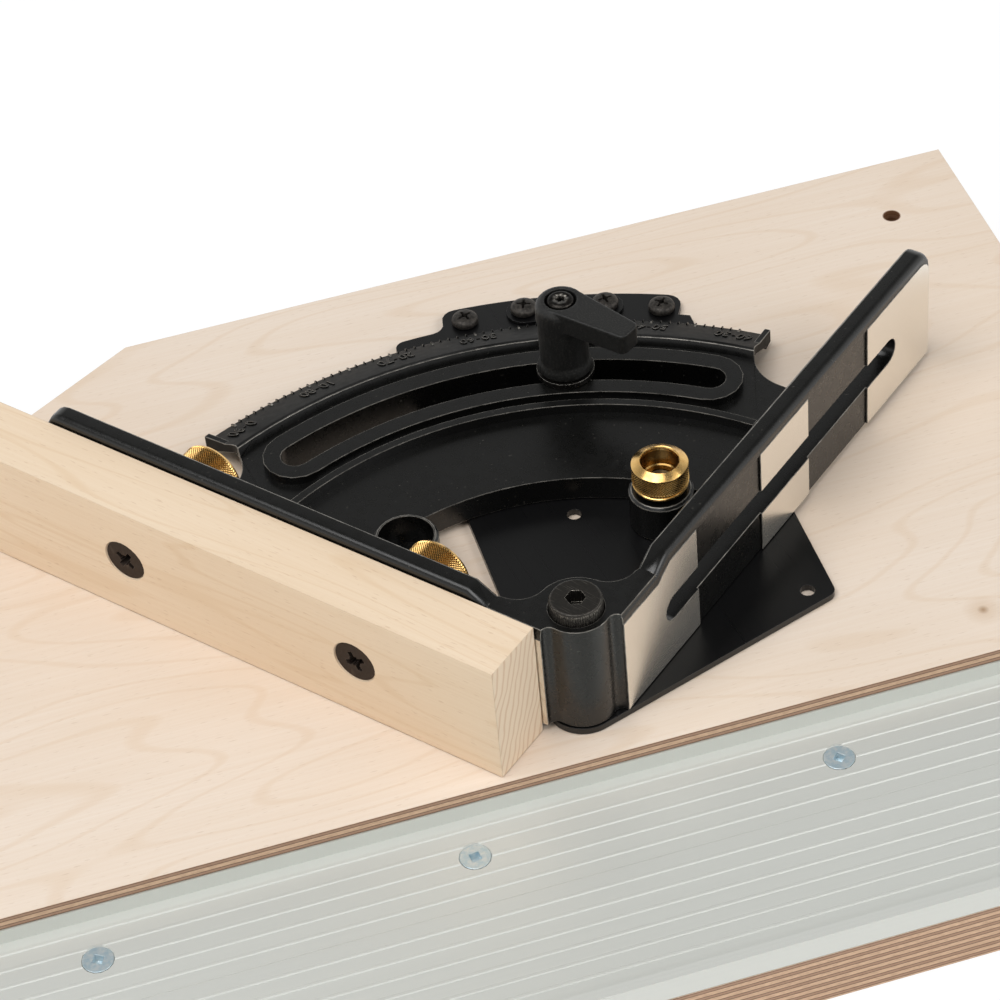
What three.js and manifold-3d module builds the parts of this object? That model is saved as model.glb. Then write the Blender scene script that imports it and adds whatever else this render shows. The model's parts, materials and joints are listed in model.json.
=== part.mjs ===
import * as THREE from "three";
import { mergeVertices } from "three/addons/utils/BufferGeometryUtils.js";
import Module from "manifold-3d";

const wasm = await Module();
wasm.setup();

// A shooting board: a plywood table on a plywood base, an aluminium track that a
// bench plane runs along, and a cast fence that swings about a shoulder screw.
// Lengths are millimetres and angles are degrees. X runs along the track, Y away
// from it and Z up. The origin is on the fence's pivot axis, under the base.

// Fits shared by all pieces
const clearance = 0.3; // gap between pieces that touch
const overrun = 2; // how far a cutting shape runs past the face it cuts
const bite = 0.5; // how far one shape reaches into another that it is joined to

// Boards
const boardLeft = 278;
const boardRight = 176;
const tableFront = 18.3;
const tableMargin = 21.8; // from the index plate's tab to the back edge
const tablePly = 12;
const basePly = 18;
const cutCornerRun = 192; // along the back edge
const cutCornerRise = 117.6; // along the left edge
const tableHoleInset = 25.6; // from the right edge and the back edge
const tableHoleWidth = 5;

// Plane track, an extrusion as long as the boards
const trackWidth = 75;
const trackWallTop = 4.4; // below the table's face
const trackFloorDrop = 4.8; // from the wall's top to the floor
const trackWall = 3;
const ridgeFirst = 3.7; // from the inner wall's face
const ridgePitch = 5.3;
const ridgeWidth = 0.6;
const ridgeHeight = 0.25;
const ridgeCount = 5;
const runStep = 0.6; // the outer run stands this much above the inner one
const runStepPlace = 29.6; // from the inner wall's face
const outerRidgeCount = 6;
const trackScrewInset = 13.4; // from the inner wall's face
const trackScrewEnd = 16.2;
const trackScrewPitch = 100;

// Index plate
const plateThick = 2;
const plateNose = 9.8; // round the pivot
const plateRight = 76.8;
const plateSlope = 18.3; // of its front edge, from X
const plateMargin = 6.6; // from the casting's rim to the plate's arc
const tabMargin = 6.7; // from the screws' circle to the tab's arc
const tabSpans = [12.4, 12.9]; // of the tab from the pointer's line, to the right and to the left
const tabFillet = 4;
const pointerAngle = 74.8; // from X, of the pointer, the clamp stud and the zero stop
const plateCorner = 3;
const indexRadius = 72;
const indexHole = 4.2;
const indexStops = [0, 22.5, 30, 45, 60];
const plateScrewMargin = 8.6; // from the casting's rim to the screws' circle
const plateScrewAngles = [10.6, 4.2, -4.5, -10.5]; // from the pointer's line

// Fence
const fenceAngle = 40; // of the right wing from X
const fenceMost = 60; // the fence swings from 0 to this
const plateGap = clearance; // between the casting and the plate
const faceOut = 12.2; // from the pivot axis to the machined face
const padProud = 0.6;
const lipBack = 0.2; // the pads also stand this much in front of the lip
const wingBack = 6.2; // from the pivot axis to the wing's back
const railTop = 41.5;
const hubDrop = 3.5; // the hub's top is this much lower
const lipDrop = 3.9; // from the top to the lip's lower edge
const railRound = 2;
const railSideDrop = 1.9;
const backRound = 0.6;
const wingStart = 3.3;
const rampStart = 20.3;
const rampEnd = 26.2;
const wingLength = 167.6;
const wingEndRound = 5;
const padSpans = [[wingStart, 39.6], [72.7, 98.4], [131.5, wingLength]];
const slotStart = 23.3;
const slotInset = 19.9; // from the wing's end to the slot's
const slotCentre = 20.3;
const slotWidth = 8.2;
const hubNose = 9.4;
const hubBack = 11;
const hubFillet = 8;
const noseFillet = 2.2; // between the nose and the end of each wing's face

// Quadrant between the wings
const rimOuter = 152.4;
const studInset = 31.4; // from the rim's outer edge to the clamp stud
const webInner = 78.2;
const webTop = 10.3;
const webThick = 3.2;
const ribStart = 105.5;
const ribWidth = 2.5;
const ribHeight = 3.1;
const nutLane = 16; // flat strip beside each wing, where a thumb nut can run
const ringShift = 0.2; // the ring's middle lies this much outside the slot's
const ringHalf = 9.8;
const ringHeight = 2.7;
const ringSlot = 8.8;
const ringEnd = 5; // wall past the slot's end
const rimWidth = 16.4;
const rimTop = 12.7;
const rimLipWidth = 1.2;
const rimEdge = 5;
const rimAngle = 11.4; // of the rim's end from the wing
const rimEndWidth = 1.8; // of the raised bar along each end of the rim
const rimEndLength = 9.4;
const rimEndRise = 2.3; // above the rim's edge
const sideInset = 25.9; // from the rim's outer edge to the quadrant's straight sides
const sideFillet = 14;
const pocketWall = 4;
const pocketRibs = [30, 45, 60];
const pocketRibWidth = 3;
const bossRadius = 9.15;
const bossTop = 14.6;
const bossEdge = 0.8;

// Pivot screw and its nut
const shoulderWidth = 9.5;
const pivotHeadWidth = 14.3;
const pivotHeadHeight = 6.35;
const pivotHeadTop = 41.6;
const pivotThread = 7.6;
const pivotThreadLength = 9.5;
const socketAcross = 4.8;
const socketDepth = 4;
const nutFlangeWidth = 20;
const nutFlangeThick = 1.5;
const nutBarrelWidth = 11;

// Clamp
const studWidth = 7.9;
const studTop = 23.5;
const studHeadWidth = 14;
const studHeadThick = 3;
const washerWidth = 16.8;
const washerThick = 1.6;
const leverFlange = 15.6;
const leverFlangeThick = 2;
const leverWaist = 14.4;
const leverHead = 15;
const leverShoulder = 2.8; // of the head's rounded top edge
const leverTop = 40.2;
const armAngle = -55; // from X
const armLength = 25.2;
const armTipWidth = 7.8;
const armThick = 6.7;
const armTipRound = 2;
const insertWidth = 10.4;
const insertTop = 30;
const leverShelf = 2; // the floor between the insert's bore and the screw's recess
const leverScrewHead = 7.8;
const leverScrewProud = 0.2; // of the handle's top
const leverScrewHeadThick = 2.6;
const leverScrewWidth = 3.4;
const leverScrewReach = 5; // into the insert
const leverScrewEdge = 0.5;
const leverRecess = 9.2;
const springWire = 0.7;
const springWidth = 6.4;
const springTurns = 4;
const springSteps = 10;
const springSides = 6;

// Index pin and its knob
const pinWidth = 6.3;
const pinTipWidth = 3.6;
const pinTipLength = 2.4;
const knobWidth = 15.9;
const knobBottom = 15.9;
const knobTop = 25;
const knobBore = 10;
const knobFloor = 2.4;
const knobEdge = 1.2;
const knobGrooveDepth = 0.4;
const knobPlainRing = 2.2;

// Wood face, its bolts and thumb nuts
const woodStart = 5;
const woodLength = 203.2;
const woodThick = 19.2;
const woodTop = 39.05;
const boltStart = 50.2; // from the pivot axis to the first bolt
const boltInset = 20.3; // from the slot's end to the second bolt
const boltWidth = 6.2;
const boltHead = 12.7;
const boltHeadDeep = 4.1;
const boltSink = 0.3; // the head lies this far below the wood
const boltLength = 38.1;
const thumbWidth = 19.2;
const thumbLength = 12.2;
const thumbCollar = 14;
const thumbCollarLength = 3;
const thumbEdge = 1;

// Wood screws
const panHead = 8;
const panHeadHeight = 2.6;
const panCrownShare = 0.45; // of the head's height, where its round top starts
const woodScrew = 4;
const plateScrewLength = 11;
const flatHead = 8.3;
const flatHeadDeep = 2.6;
const trackScrewLength = 16;
const baseScrewLength = 25;
const baseScrewInset = 28;
const baseScrewBack = 14; // of the back row from the back edge
const screwTip = 3;
const cursorThick = 0.8;
const cursorLobe = 5.4;
const cursorTipMargin = 1; // from the casting's rim to the pointer's tip
const cursorTipWidth = 4;

// Facets
const fine = 40;
const medium = 24;
const coarse = 14;
const ringFacets = 132;
const arcSteps = 24;
const roundSteps = 4;

const rimStart = rimOuter - rimWidth;
const sideLine = rimOuter - sideInset;
const studRadius = rimOuter - studInset;
const ringMiddle = studRadius + ringShift;
const slotEnd = wingLength - slotInset;
const boltPlaces = [boltStart, slotEnd - boltInset];
const plateArc = rimOuter + plateMargin;
const plateScrewRadius = rimOuter + plateScrewMargin;
const tabArc = plateScrewRadius + tabMargin;
const tableBack = tabArc + tableMargin;
const cursorTip = rimOuter + cursorTipMargin;
const deck = basePly + tablePly; // height of the table's face above the base's underside
const rad = THREE.MathUtils.degToRad;
const degrees = THREE.MathUtils.radToDeg;
const along = (radius, angle) => [radius * Math.cos(rad(angle)), radius * Math.sin(rad(angle))];

// Solids for joining and cutting, and back again
function solid(geometry) {
  const bare = new THREE.BufferGeometry();
  bare.setAttribute("position", geometry.getAttribute("position").clone());
  if (geometry.index) {
    bare.setIndex(geometry.index.clone());
  }
  const merged = mergeVertices(bare, 1e-4);
  return new wasm.Manifold(new wasm.Mesh({
    numProp: 3,
    vertProperties: new Float32Array(merged.attributes.position.array),
    triVerts: new Uint32Array(merged.index.array),
  }));
}

function shapeOf(body) {
  const skin = body.getMesh();
  const geometry = new THREE.BufferGeometry();
  const points = new Float32Array(skin.numVert * 3);
  for (let i = 0; i < skin.numVert; i += 1) {
    points.set(skin.vertProperties.subarray(i * skin.numProp, i * skin.numProp + 3), i * 3);
  }
  geometry.setAttribute("position", new THREE.BufferAttribute(points, 3));
  geometry.setIndex(new THREE.BufferAttribute(skin.triVerts, 1));
  const faceted = geometry.toNonIndexed();
  faceted.computeVertexNormals();
  return faceted;
}

const join = (...parts) => parts.reduce((a, b) => a.add(b));
const cut = (body, ...tools) => tools.reduce((a, b) => a.subtract(b), body);

// A flat outline raised from one height to another
function raise(outline, low, high, curveSegments = arcSteps) {
  const geometry = new THREE.ExtrudeGeometry(outline, {
    depth: high - low,
    bevelEnabled: false,
    curveSegments,
  });
  return geometry.translate(0, 0, low);
}

// A profile of [radius, height] points turned round Z, listed from the bottom up
function turn(profile, facets = medium) {
  const points = profile.map(([radius, height]) => new THREE.Vector2(radius, height));
  return new THREE.LatheGeometry(points, facets).rotateX(Math.PI / 2);
}

// A round bar on Z
function bar(width, low, high, facets = medium) {
  return turn([[0, low], [width / 2, low], [width / 2, high], [0, high]], facets);
}

// A block between two corners
function block([x0, y0, z0], [x1, y1, z1]) {
  const geometry = new THREE.BoxGeometry(x1 - x0, y1 - y0, z1 - z0);
  return geometry.translate((x0 + x1) / 2, (y0 + y1) / 2, (z0 + z1) / 2);
}

// A straight-sided outline through points
function polygon(points) {
  return new THREE.Shape(points.map(([x, y]) => new THREE.Vector2(x, y)));
}

// Points on an arc round a centre, both ends included
function arcPoints([cx, cy], radius, from, to, steps = arcSteps) {
  return Array.from({ length: steps + 1 }, (_, i) => {
    const [x, y] = along(radius, from + ((to - from) * i) / steps);
    return [cx + x, cy + y];
  });
}

// A closed band between two arcs round the pivot, with round ends
function band(middle, half, from, to) {
  return polygon([
    ...arcPoints([0, 0], middle + half, from, to),
    ...arcPoints(along(middle, to), half, to, to + 180, roundSteps * 2).slice(1),
    ...arcPoints([0, 0], middle - half, to, from).slice(1),
    ...arcPoints(along(middle, from), half, from + 180, from + 360, roundSteps * 2).slice(1, -1),
  ]);
}

// One skin through a row of matching outlines, with flat ends
function loft(rings) {
  const count = rings[0].length;
  const positions = rings.flat(2);
  const index = [];
  for (let ring = 0; ring < rings.length - 1; ring += 1) {
    for (let i = 0; i < count; i += 1) {
      const a = ring * count + i;
      const b = ring * count + ((i + 1) % count);
      index.push(a, b, b + count, a, b + count, a + count);
    }
  }
  const flat = rings[0].map((p) => new THREE.Vector2(p[1], p[2]));
  const last = (rings.length - 1) * count;
  for (const [a, b, c] of THREE.ShapeUtils.triangulateShape(flat, [])) {
    index.push(a, c, b);
    index.push(last + a, last + b, last + c);
  }
  const geometry = new THREE.BufferGeometry();
  geometry.setAttribute("position", new THREE.Float32BufferAttribute(positions, 3));
  geometry.setIndex(index);
  return geometry;
}

// The same shape on the other wing: X and Y change places, and the faces are turned back
function mirrored(geometry) {
  const swap = new THREE.Matrix4().set(0, 1, 0, 0, 1, 0, 0, 0, 0, 0, 1, 0, 0, 0, 0, 1);
  const other = geometry.index ? geometry.toNonIndexed() : geometry.clone();
  other.applyMatrix4(swap);
  const points = other.getAttribute("position");
  for (let i = 0; i < points.count; i += 3) {
    const b = [points.getX(i + 1), points.getY(i + 1), points.getZ(i + 1)];
    points.setXYZ(i + 1, points.getX(i + 2), points.getY(i + 2), points.getZ(i + 2));
    points.setXYZ(i + 2, ...b);
  }
  return other;
}

const finishes = {
  birch: { color: 0xe9d8c2, roughness: 0.6, metalness: 0 },
  maple: { color: 0xecd6b4, roughness: 0.55, metalness: 0 },
  anodised: { color: 0xbfc2bd, roughness: 0.45, metalness: 0.9 },
  blackPaint: { color: 0x17181a, roughness: 0.5, metalness: 0.1 },
  blackSteel: { color: 0x1c1c1e, roughness: 0.4, metalness: 0.6 },
  zincSteel: { color: 0xb9c3ca, roughness: 0.3, metalness: 1 },
  brass: { color: 0xc99a4a, roughness: 0.3, metalness: 1 },
  nylon: { color: 0x1d1d1f, roughness: 0.6, metalness: 0 },
  steel: { color: 0x9a9c9e, roughness: 0.35, metalness: 1 },
};

const board = new THREE.Group();
const onTable = new THREE.Group();
onTable.position.z = deck;
board.add(onTable);
const fence = new THREE.Group();
fence.rotation.z = rad(fenceAngle);
onTable.add(fence);
const clamp = new THREE.Group();
clamp.position.set(...along(studRadius, pointerAngle), 0);
onTable.add(clamp);

function piece(name, geometry, finish, parent = onTable) {
  const shape = geometry.isBufferGeometry ? geometry : shapeOf(geometry);
  const mesh = new THREE.Mesh(shape, new THREE.MeshStandardMaterial(finishes[finish]));
  mesh.name = name;
  parent.add(mesh);
  return mesh;
}

// A flat or pan headed wood screw on Z, its seat at zero and its point down
function screwProfile(head, length) {
  const shank = woodScrew / 2;
  return [[0, -length], [shank, screwTip - length], ...head(shank)];
}
const flatHeadOutline = (shank) => [[shank, -flatHeadDeep], [flatHead / 2, 0], [0, 0]];
function panHeadOutline(shank) {
  const half = panHead / 2;
  const crown = panHeadHeight * panCrownShare;
  return [[shank, 0], [half, 0], [half, crown], [half - crown, panHeadHeight], [0, panHeadHeight]];
}

// The hole a wood screw fills, with its countersink where it has one
function screwHole(length, countersunk, facets = coarse) {
  const wide = woodScrew / 2 + clearance;
  const low = -length - clearance;
  if (!countersunk) {
    return turn([[0, low], [wide, low], [wide, overrun], [0, overrun]], facets);
  }
  const lip = flatHead / 2 + clearance;
  return turn([
    [0, low], [wide, low], [wide, -flatHeadDeep - clearance], [lip, 0], [lip, overrun], [0, overrun],
  ], facets);
}

// Boards: the cut corner runs along the back and the left edges
const tableOutline = [
  [boardRight, -tableFront],
  [boardRight, tableBack],
  [cutCornerRun - boardLeft, tableBack],
  [-boardLeft, tableBack - cutCornerRise],
  [-boardLeft, -tableFront],
];
const trackInner = -tableFront - clearance; // the inner wall's face
const trackOuter = trackInner - trackWidth + trackWall;
const baseOutline = [
  [boardRight, trackOuter],
  ...tableOutline.slice(1, -1),
  [-boardLeft, trackOuter],
];
const rebateTop = -trackWallTop + clearance;
const rebate = block(
  [-boardLeft - overrun, -tableFront - overrun, -tablePly - overrun],
  [boardRight + overrun, trackInner + trackWall + clearance, rebateTop],
);

const pivotNutTop = -clearance;
const nutHole = turn([
  [0, -tablePly - overrun],
  [nutFlangeWidth / 2 + clearance, -tablePly - overrun],
  [nutFlangeWidth / 2 + clearance, -tablePly + nutFlangeThick + clearance],
  [nutBarrelWidth / 2 + clearance, -tablePly + nutFlangeThick + clearance],
  [nutBarrelWidth / 2 + clearance, overrun],
  [0, overrun],
]);
const studPlace = along(studRadius, pointerAngle);
const studSink = bar(studHeadWidth + 2 * clearance, -studHeadThick - clearance, overrun)
  .translate(...studPlace, 0);
const plateScrewPlaces = plateScrewAngles.map((turned) => along(plateScrewRadius, pointerAngle + turned));
const plateScrewHoles = plateScrewPlaces.map(([x, y]) => (
  screwHole(plateScrewLength, false).translate(x, y, plateThick + clearance)
));
const tableHole = bar(tableHoleWidth, -tablePly - overrun, overrun, coarse)
  .translate(boardRight - tableHoleInset, tableBack - tableHoleInset, 0);

// Base screws come up from below, three along the front and three along the back
const baseScrewRows = [trackInner + trackWall + baseScrewInset, tableBack - baseScrewBack];
const baseScrewEnd = boardRight - baseScrewInset;
const baseScrewColumns = [-boardLeft, cutCornerRun - boardLeft].map((left) => (
  [left + baseScrewInset, (left + boardRight) / 2, baseScrewEnd]
));
const baseScrewPlaces = baseScrewRows.flatMap((y, row) => baseScrewColumns[row].map((x) => [x, y]));
const baseScrewHoles = baseScrewPlaces.map(([x, y]) => (
  screwHole(baseScrewLength, true).rotateX(Math.PI).translate(x, y, -deck)
));

piece("table_board", cut(
  solid(raise(polygon(tableOutline), -tablePly, 0)),
  solid(rebate),
  solid(nutHole),
  solid(studSink),
  solid(tableHole),
  ...plateScrewHoles.map(solid),
  ...baseScrewHoles.map(solid),
), "birch");

const trackScrewCount = 1 + Math.floor((boardLeft + boardRight - 2 * trackScrewEnd) / trackScrewPitch);
const trackScrewPlaces = Array.from({ length: trackScrewCount }, (_, i) => (
  [boardRight - trackScrewEnd - i * trackScrewPitch, trackInner - trackScrewInset]
));
const trackFloor = -trackWallTop - trackFloorDrop;
const trackBottom = -tablePly;
const trackScrewHoles = trackScrewPlaces.map(([x, y]) => (
  screwHole(trackScrewLength, true).translate(x, y, trackFloor)
));
piece("base_board", cut(
  solid(raise(polygon(baseOutline), -deck, -tablePly - clearance)),
  ...baseScrewHoles.map(solid),
  ...trackScrewHoles.map(solid),
), "birch");
baseScrewPlaces.forEach(([x, y], i) => {
  const screw = piece("base_screw_" + (i + 1), turn(screwProfile(flatHeadOutline, baseScrewLength), coarse),
    "zincSteel");
  screw.rotation.x = Math.PI;
  screw.position.set(x, y, -deck + clearance);
});

// The track's section, drawn in Y and Z and drawn out along X
function trackSection() {
  const wallTop = -trackWallTop;
  const inside = trackInner;
  const outside = trackOuter + trackWall;
  const step = inside - runStepPlace;
  const ridges = (count, first, floor) => Array.from({ length: count }, (_, i) => first - ridgePitch * i)
    .flatMap((y) => [
      [y + ridgeWidth, floor], [y + ridgeWidth / 2, floor + ridgeHeight],
      [y - ridgeWidth / 2, floor + ridgeHeight], [y - ridgeWidth, floor],
    ]);
  return [
    [inside + trackWall, trackBottom], [inside + trackWall, wallTop], [inside, wallTop],
    [inside, trackFloor],
    ...ridges(ridgeCount, inside - ridgeFirst, trackFloor),
    [step, trackFloor], [step - runStep, trackFloor + runStep],
    ...ridges(outerRidgeCount, step - ridgePitch, trackFloor + runStep),
    [outside, trackFloor + runStep], [outside, wallTop], [trackOuter, wallTop], [trackOuter, trackBottom],
  ];
}
const trackBar = raise(polygon(trackSection()), 0, boardLeft + boardRight)
  .rotateX(Math.PI / 2).rotateZ(Math.PI / 2).translate(-boardLeft, 0, 0);
piece("plane_track", cut(solid(trackBar), ...trackScrewHoles.map(solid)), "anodised");
trackScrewPlaces.forEach(([x, y], i) => {
  const screw = turn(screwProfile(flatHeadOutline, trackScrewLength), coarse);
  piece("track_screw_" + (i + 1), screw, "zincSteel").position.set(x, y, trackFloor);
});

// Index plate: two straight edges tangent to the round nose, an outer arc and a tab
function plateOutline() {
  const tabFrom = pointerAngle - tabSpans[0];
  const tabTo = pointerAngle + tabSpans[1];
  const tabRound = (tabArc - plateArc) / 2;
  const tabTurn = degrees(Math.asin(tabRound / (tabArc - tabRound)));
  const filletTurn = degrees(Math.asin(tabFillet / (plateArc + tabFillet)));
  const arcRight = degrees(Math.acos(plateRight / plateArc));
  const frontLow = -plateNose / Math.cos(rad(plateSlope));
  const cornerRise = Math.tan(rad((90 - plateSlope) / 2)) * plateCorner;
  const frontCorner = [
    plateRight - plateCorner,
    frontLow + Math.tan(rad(plateSlope)) * plateRight + cornerRise,
  ];
  const backX = plateCorner - plateNose;
  const backCorner = [backX, Math.sqrt((plateArc - plateCorner) ** 2 - backX ** 2)];
  const backAngle = degrees(Math.atan2(backCorner[1], backCorner[0]));
  return polygon([
    ...arcPoints([0, 0], plateNose, 180, 270 + plateSlope, arcSteps),
    ...arcPoints(frontCorner, plateCorner, 270 + plateSlope, 360, roundSteps),
    ...arcPoints([0, 0], plateArc, arcRight, tabFrom, 1),
    ...arcPoints(along(tabArc - tabRound, tabFrom + tabTurn), tabRound, tabFrom + tabTurn - 90,
      tabFrom + tabTurn, roundSteps),
    ...arcPoints([0, 0], tabArc, tabFrom + tabTurn, tabTo - tabTurn, arcSteps).slice(1, -1),
    ...arcPoints(along(tabArc - tabRound, tabTo - tabTurn), tabRound, tabTo - tabTurn,
      tabTo - tabTurn + 90, roundSteps),
    ...arcPoints(along(plateArc + tabFillet, tabTo + filletTurn), tabFillet, tabTo - 90,
      tabTo + filletTurn - 180, roundSteps),
    ...arcPoints([0, 0], plateArc, tabTo + filletTurn, backAngle, roundSteps).slice(1),
    ...arcPoints(backCorner, plateCorner, backAngle, 180, roundSteps).slice(1),
  ]);
}
const indexPlaces = indexStops.map((stop) => along(indexRadius, pointerAngle - fenceMost + stop));
const plateHole = (width, [x, y], facets) => solid(
  bar(width, -overrun, plateThick + overrun, facets).translate(x, y, 0),
);
piece("index_plate", cut(
  solid(raise(plateOutline(), 0, plateThick)),
  plateHole(shoulderWidth + 2 * clearance, [0, 0], fine),
  plateHole(studWidth + 2 * clearance, studPlace, medium),
  ...indexPlaces.map((place) => plateHole(indexHole, place, coarse)),
  ...plateScrewPlaces.map((place) => plateHole(woodScrew + 2 * clearance, place, coarse)),
), "blackSteel").position.z = clearance;
const plateFace = plateThick + clearance;
const cursorPlaces = plateScrewPlaces.slice(1, -1);
plateScrewPlaces.forEach(([x, y], i) => {
  const lift = cursorPlaces.includes(plateScrewPlaces[i]) ? cursorThick + clearance : 0;
  const screw = turn(screwProfile(panHeadOutline, plateScrewLength), coarse);
  piece("plate_screw_" + (i + 1), screw, "blackSteel").position.set(x, y, plateFace + clearance + lift);
});

// The cursor: a thin plate under the two middle screws, with a pointer to the scale
function cursorOutline() {
  const [left, right] = cursorPlaces;
  const [leftAngle, rightAngle] = plateScrewAngles.slice(1, -1).map((turned) => pointerAngle + turned);
  const low = plateScrewRadius - cursorLobe;
  const side = degrees(cursorTipWidth / low / 2);
  return polygon([
    ...arcPoints(right, cursorLobe, rightAngle - 180, rightAngle, roundSteps * 2),
    ...arcPoints(left, cursorLobe, leftAngle, leftAngle + 180, roundSteps * 2),
    along(low, pointerAngle + side),
    along(cursorTip, pointerAngle),
    along(low, pointerAngle - side),
  ]);
}
piece("pointer_plate", cut(
  solid(raise(cursorOutline(), 0, cursorThick)),
  ...cursorPlaces.map((place) => plateHole(woodScrew + 2 * clearance, place, coarse)),
), "blackSteel").position.z = plateFace + clearance;

// Pivot: a shoulder screw that bottoms on the nut's barrel
const pivotSeat = pivotHeadTop - pivotHeadHeight;
const pivotFoot = pivotNutTop + clearance;
const pivotEdge = clearance;
const pivotScrew = turn([
  [0, pivotFoot - pivotThreadLength],
  [pivotThread / 2, pivotFoot - pivotThreadLength],
  [pivotThread / 2, pivotFoot],
  [shoulderWidth / 2, pivotFoot],
  [shoulderWidth / 2, pivotSeat],
  [pivotHeadWidth / 2, pivotSeat],
  [pivotHeadWidth / 2, pivotHeadTop - pivotEdge],
  [pivotHeadWidth / 2 - pivotEdge, pivotHeadTop],
  [0, pivotHeadTop],
], fine);
const hexSides = 6;
const hexWidth = socketAcross / Math.cos(Math.PI / hexSides);
const pivotSocket = bar(hexWidth, pivotHeadTop - socketDepth, pivotHeadTop + overrun, hexSides);
piece("pivot_screw", cut(solid(pivotScrew), solid(pivotSocket)), "blackSteel");
piece("pivot_nut", turn([
  [pivotThread / 2 + clearance, -tablePly + clearance],
  [nutFlangeWidth / 2, -tablePly + clearance],
  [nutFlangeWidth / 2, -tablePly + nutFlangeThick],
  [nutBarrelWidth / 2, -tablePly + nutFlangeThick],
  [nutBarrelWidth / 2, pivotNutTop],
  [pivotThread / 2 + clearance, pivotNutTop],
  [pivotThread / 2 + clearance, -tablePly + clearance],
]), "zincSteel");

// Fence casting: wings, hub and quadrant in one piece, seen with the right wing along X
const castBottom = plateFace + plateGap;
const recessFace = faceOut - padProud;
const lipFace = faceOut - lipBack;

// The wing's top follows the ramp and the rounded far corner
function wingStations() {
  const stations = [wingStart, rampStart].map((u) => [u, railTop - hubDrop]);
  stations.push([rampEnd, railTop]);
  for (let i = 0; i <= roundSteps; i += 1) {
    const swing = (Math.PI / 2) * (i / roundSteps);
    stations.push([
      wingLength - wingEndRound + wingEndRound * Math.sin(swing),
      railTop - wingEndRound + wingEndRound * Math.cos(swing),
    ]);
  }
  return stations;
}
function topAt(u) {
  const stations = wingStations();
  const next = stations.findIndex(([place]) => place >= u);
  const [u1, z1] = stations[Math.max(next, 1)];
  const [u0, z0] = stations[Math.max(next, 1) - 1];
  return z0 + ((z1 - z0) * (u - u0)) / (u1 - u0);
}
function wingRing([u, top]) {
  const shoulder = Array.from({ length: roundSteps + 1 }, (_, i) => {
    const swing = (Math.PI / 2) * (i / roundSteps);
    return [lipFace - railRound + railRound * Math.sin(swing),
      top - railSideDrop + railSideDrop * Math.cos(swing)];
  });
  const section = [
    [wingBack, castBottom], [wingBack, top - backRound], [wingBack + backRound, top],
    ...shoulder,
    [lipFace, top - lipDrop], [recessFace, top - lipDrop], [recessFace, castBottom],
  ];
  return section.map(([depth, z]) => [u, -depth, z]);
}
function padRing(u) {
  const high = topAt(u) - lipDrop + bite;
  const section = [
    [recessFace - bite, castBottom], [recessFace - bite, high], [faceOut, high], [faceOut, castBottom],
  ];
  return section.map(([depth, z]) => [u, -depth, z]);
}
function padRings([from, to]) {
  const breaks = wingStations().map(([u]) => u).filter((u) => u > from && u < to);
  return [from, ...breaks, to].map(padRing);
}
const wing = loft(wingStations().map(wingRing));
const pads = padSpans.map((span) => loft(padRings(span)));

// A slot with round ends through the wing
function slotOutline() {
  const half = slotWidth / 2;
  return polygon([
    ...arcPoints([slotEnd - half, slotCentre], half, -90, 90, roundSteps * 2),
    ...arcPoints([slotStart + half, slotCentre], half, 90, 270, roundSteps * 2),
  ]);
}
const wingSlot = raise(slotOutline(), wingBack - overrun, faceOut + overrun).rotateX(Math.PI / 2);

// The hub's outline: a small round nose in front and a larger round behind, with a
// fillet from the nose to each wing's face and a larger one to each wing's back
function hubOutline() {
  const filletAt = Math.sqrt((hubBack + hubFillet) ** 2 - (hubFillet - wingBack) ** 2);
  const filletCentre = [filletAt, hubFillet - wingBack];
  const meet = degrees(Math.atan2(hubFillet - wingBack, filletAt));
  const noseAt = wingStart - noseFillet;
  const noseDepth = Math.sqrt((hubNose + noseFillet) ** 2 - noseAt ** 2);
  const noseFrom = degrees(Math.atan2(-noseDepth, noseAt));
  const noseTo = -noseFrom - 270;
  const steps = arcSteps / 2;
  return polygon([
    [rampStart, -recessFace],
    [wingStart, -recessFace],
    ...arcPoints([noseAt, -noseDepth], noseFillet, 0, noseFrom + 180, roundSteps),
    ...arcPoints([0, 0], hubNose, noseFrom, noseTo, arcSteps).slice(1, -1),
    ...arcPoints([-noseDepth, noseAt], noseFillet, noseTo + 180, 90, roundSteps),
    [-recessFace, wingStart],
    [-recessFace, rampStart],
    [-wingBack - bite, rampStart],
    [-wingBack, filletAt],
    ...arcPoints([filletCentre[1], filletCentre[0]], hubFillet, 180, 270 - meet, steps),
    ...arcPoints([0, 0], hubBack, 90 - meet, meet, steps).slice(1, -1),
    ...arcPoints(filletCentre, hubFillet, 180 + meet, 270, steps),
    [rampStart, -wingBack - bite],
  ]);
}
const hub = raise(hubOutline(), castBottom, railTop - hubDrop);
const pivotBore = turn([
  [0, castBottom - overrun],
  [shoulderWidth / 2 + clearance, castBottom - overrun],
  [shoulderWidth / 2 + clearance, pivotSeat - clearance],
  [pivotHeadWidth / 2 + clearance, pivotSeat - clearance],
  [pivotHeadWidth / 2 + clearance, railTop + overrun],
  [0, railTop + overrun],
], fine);

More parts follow.
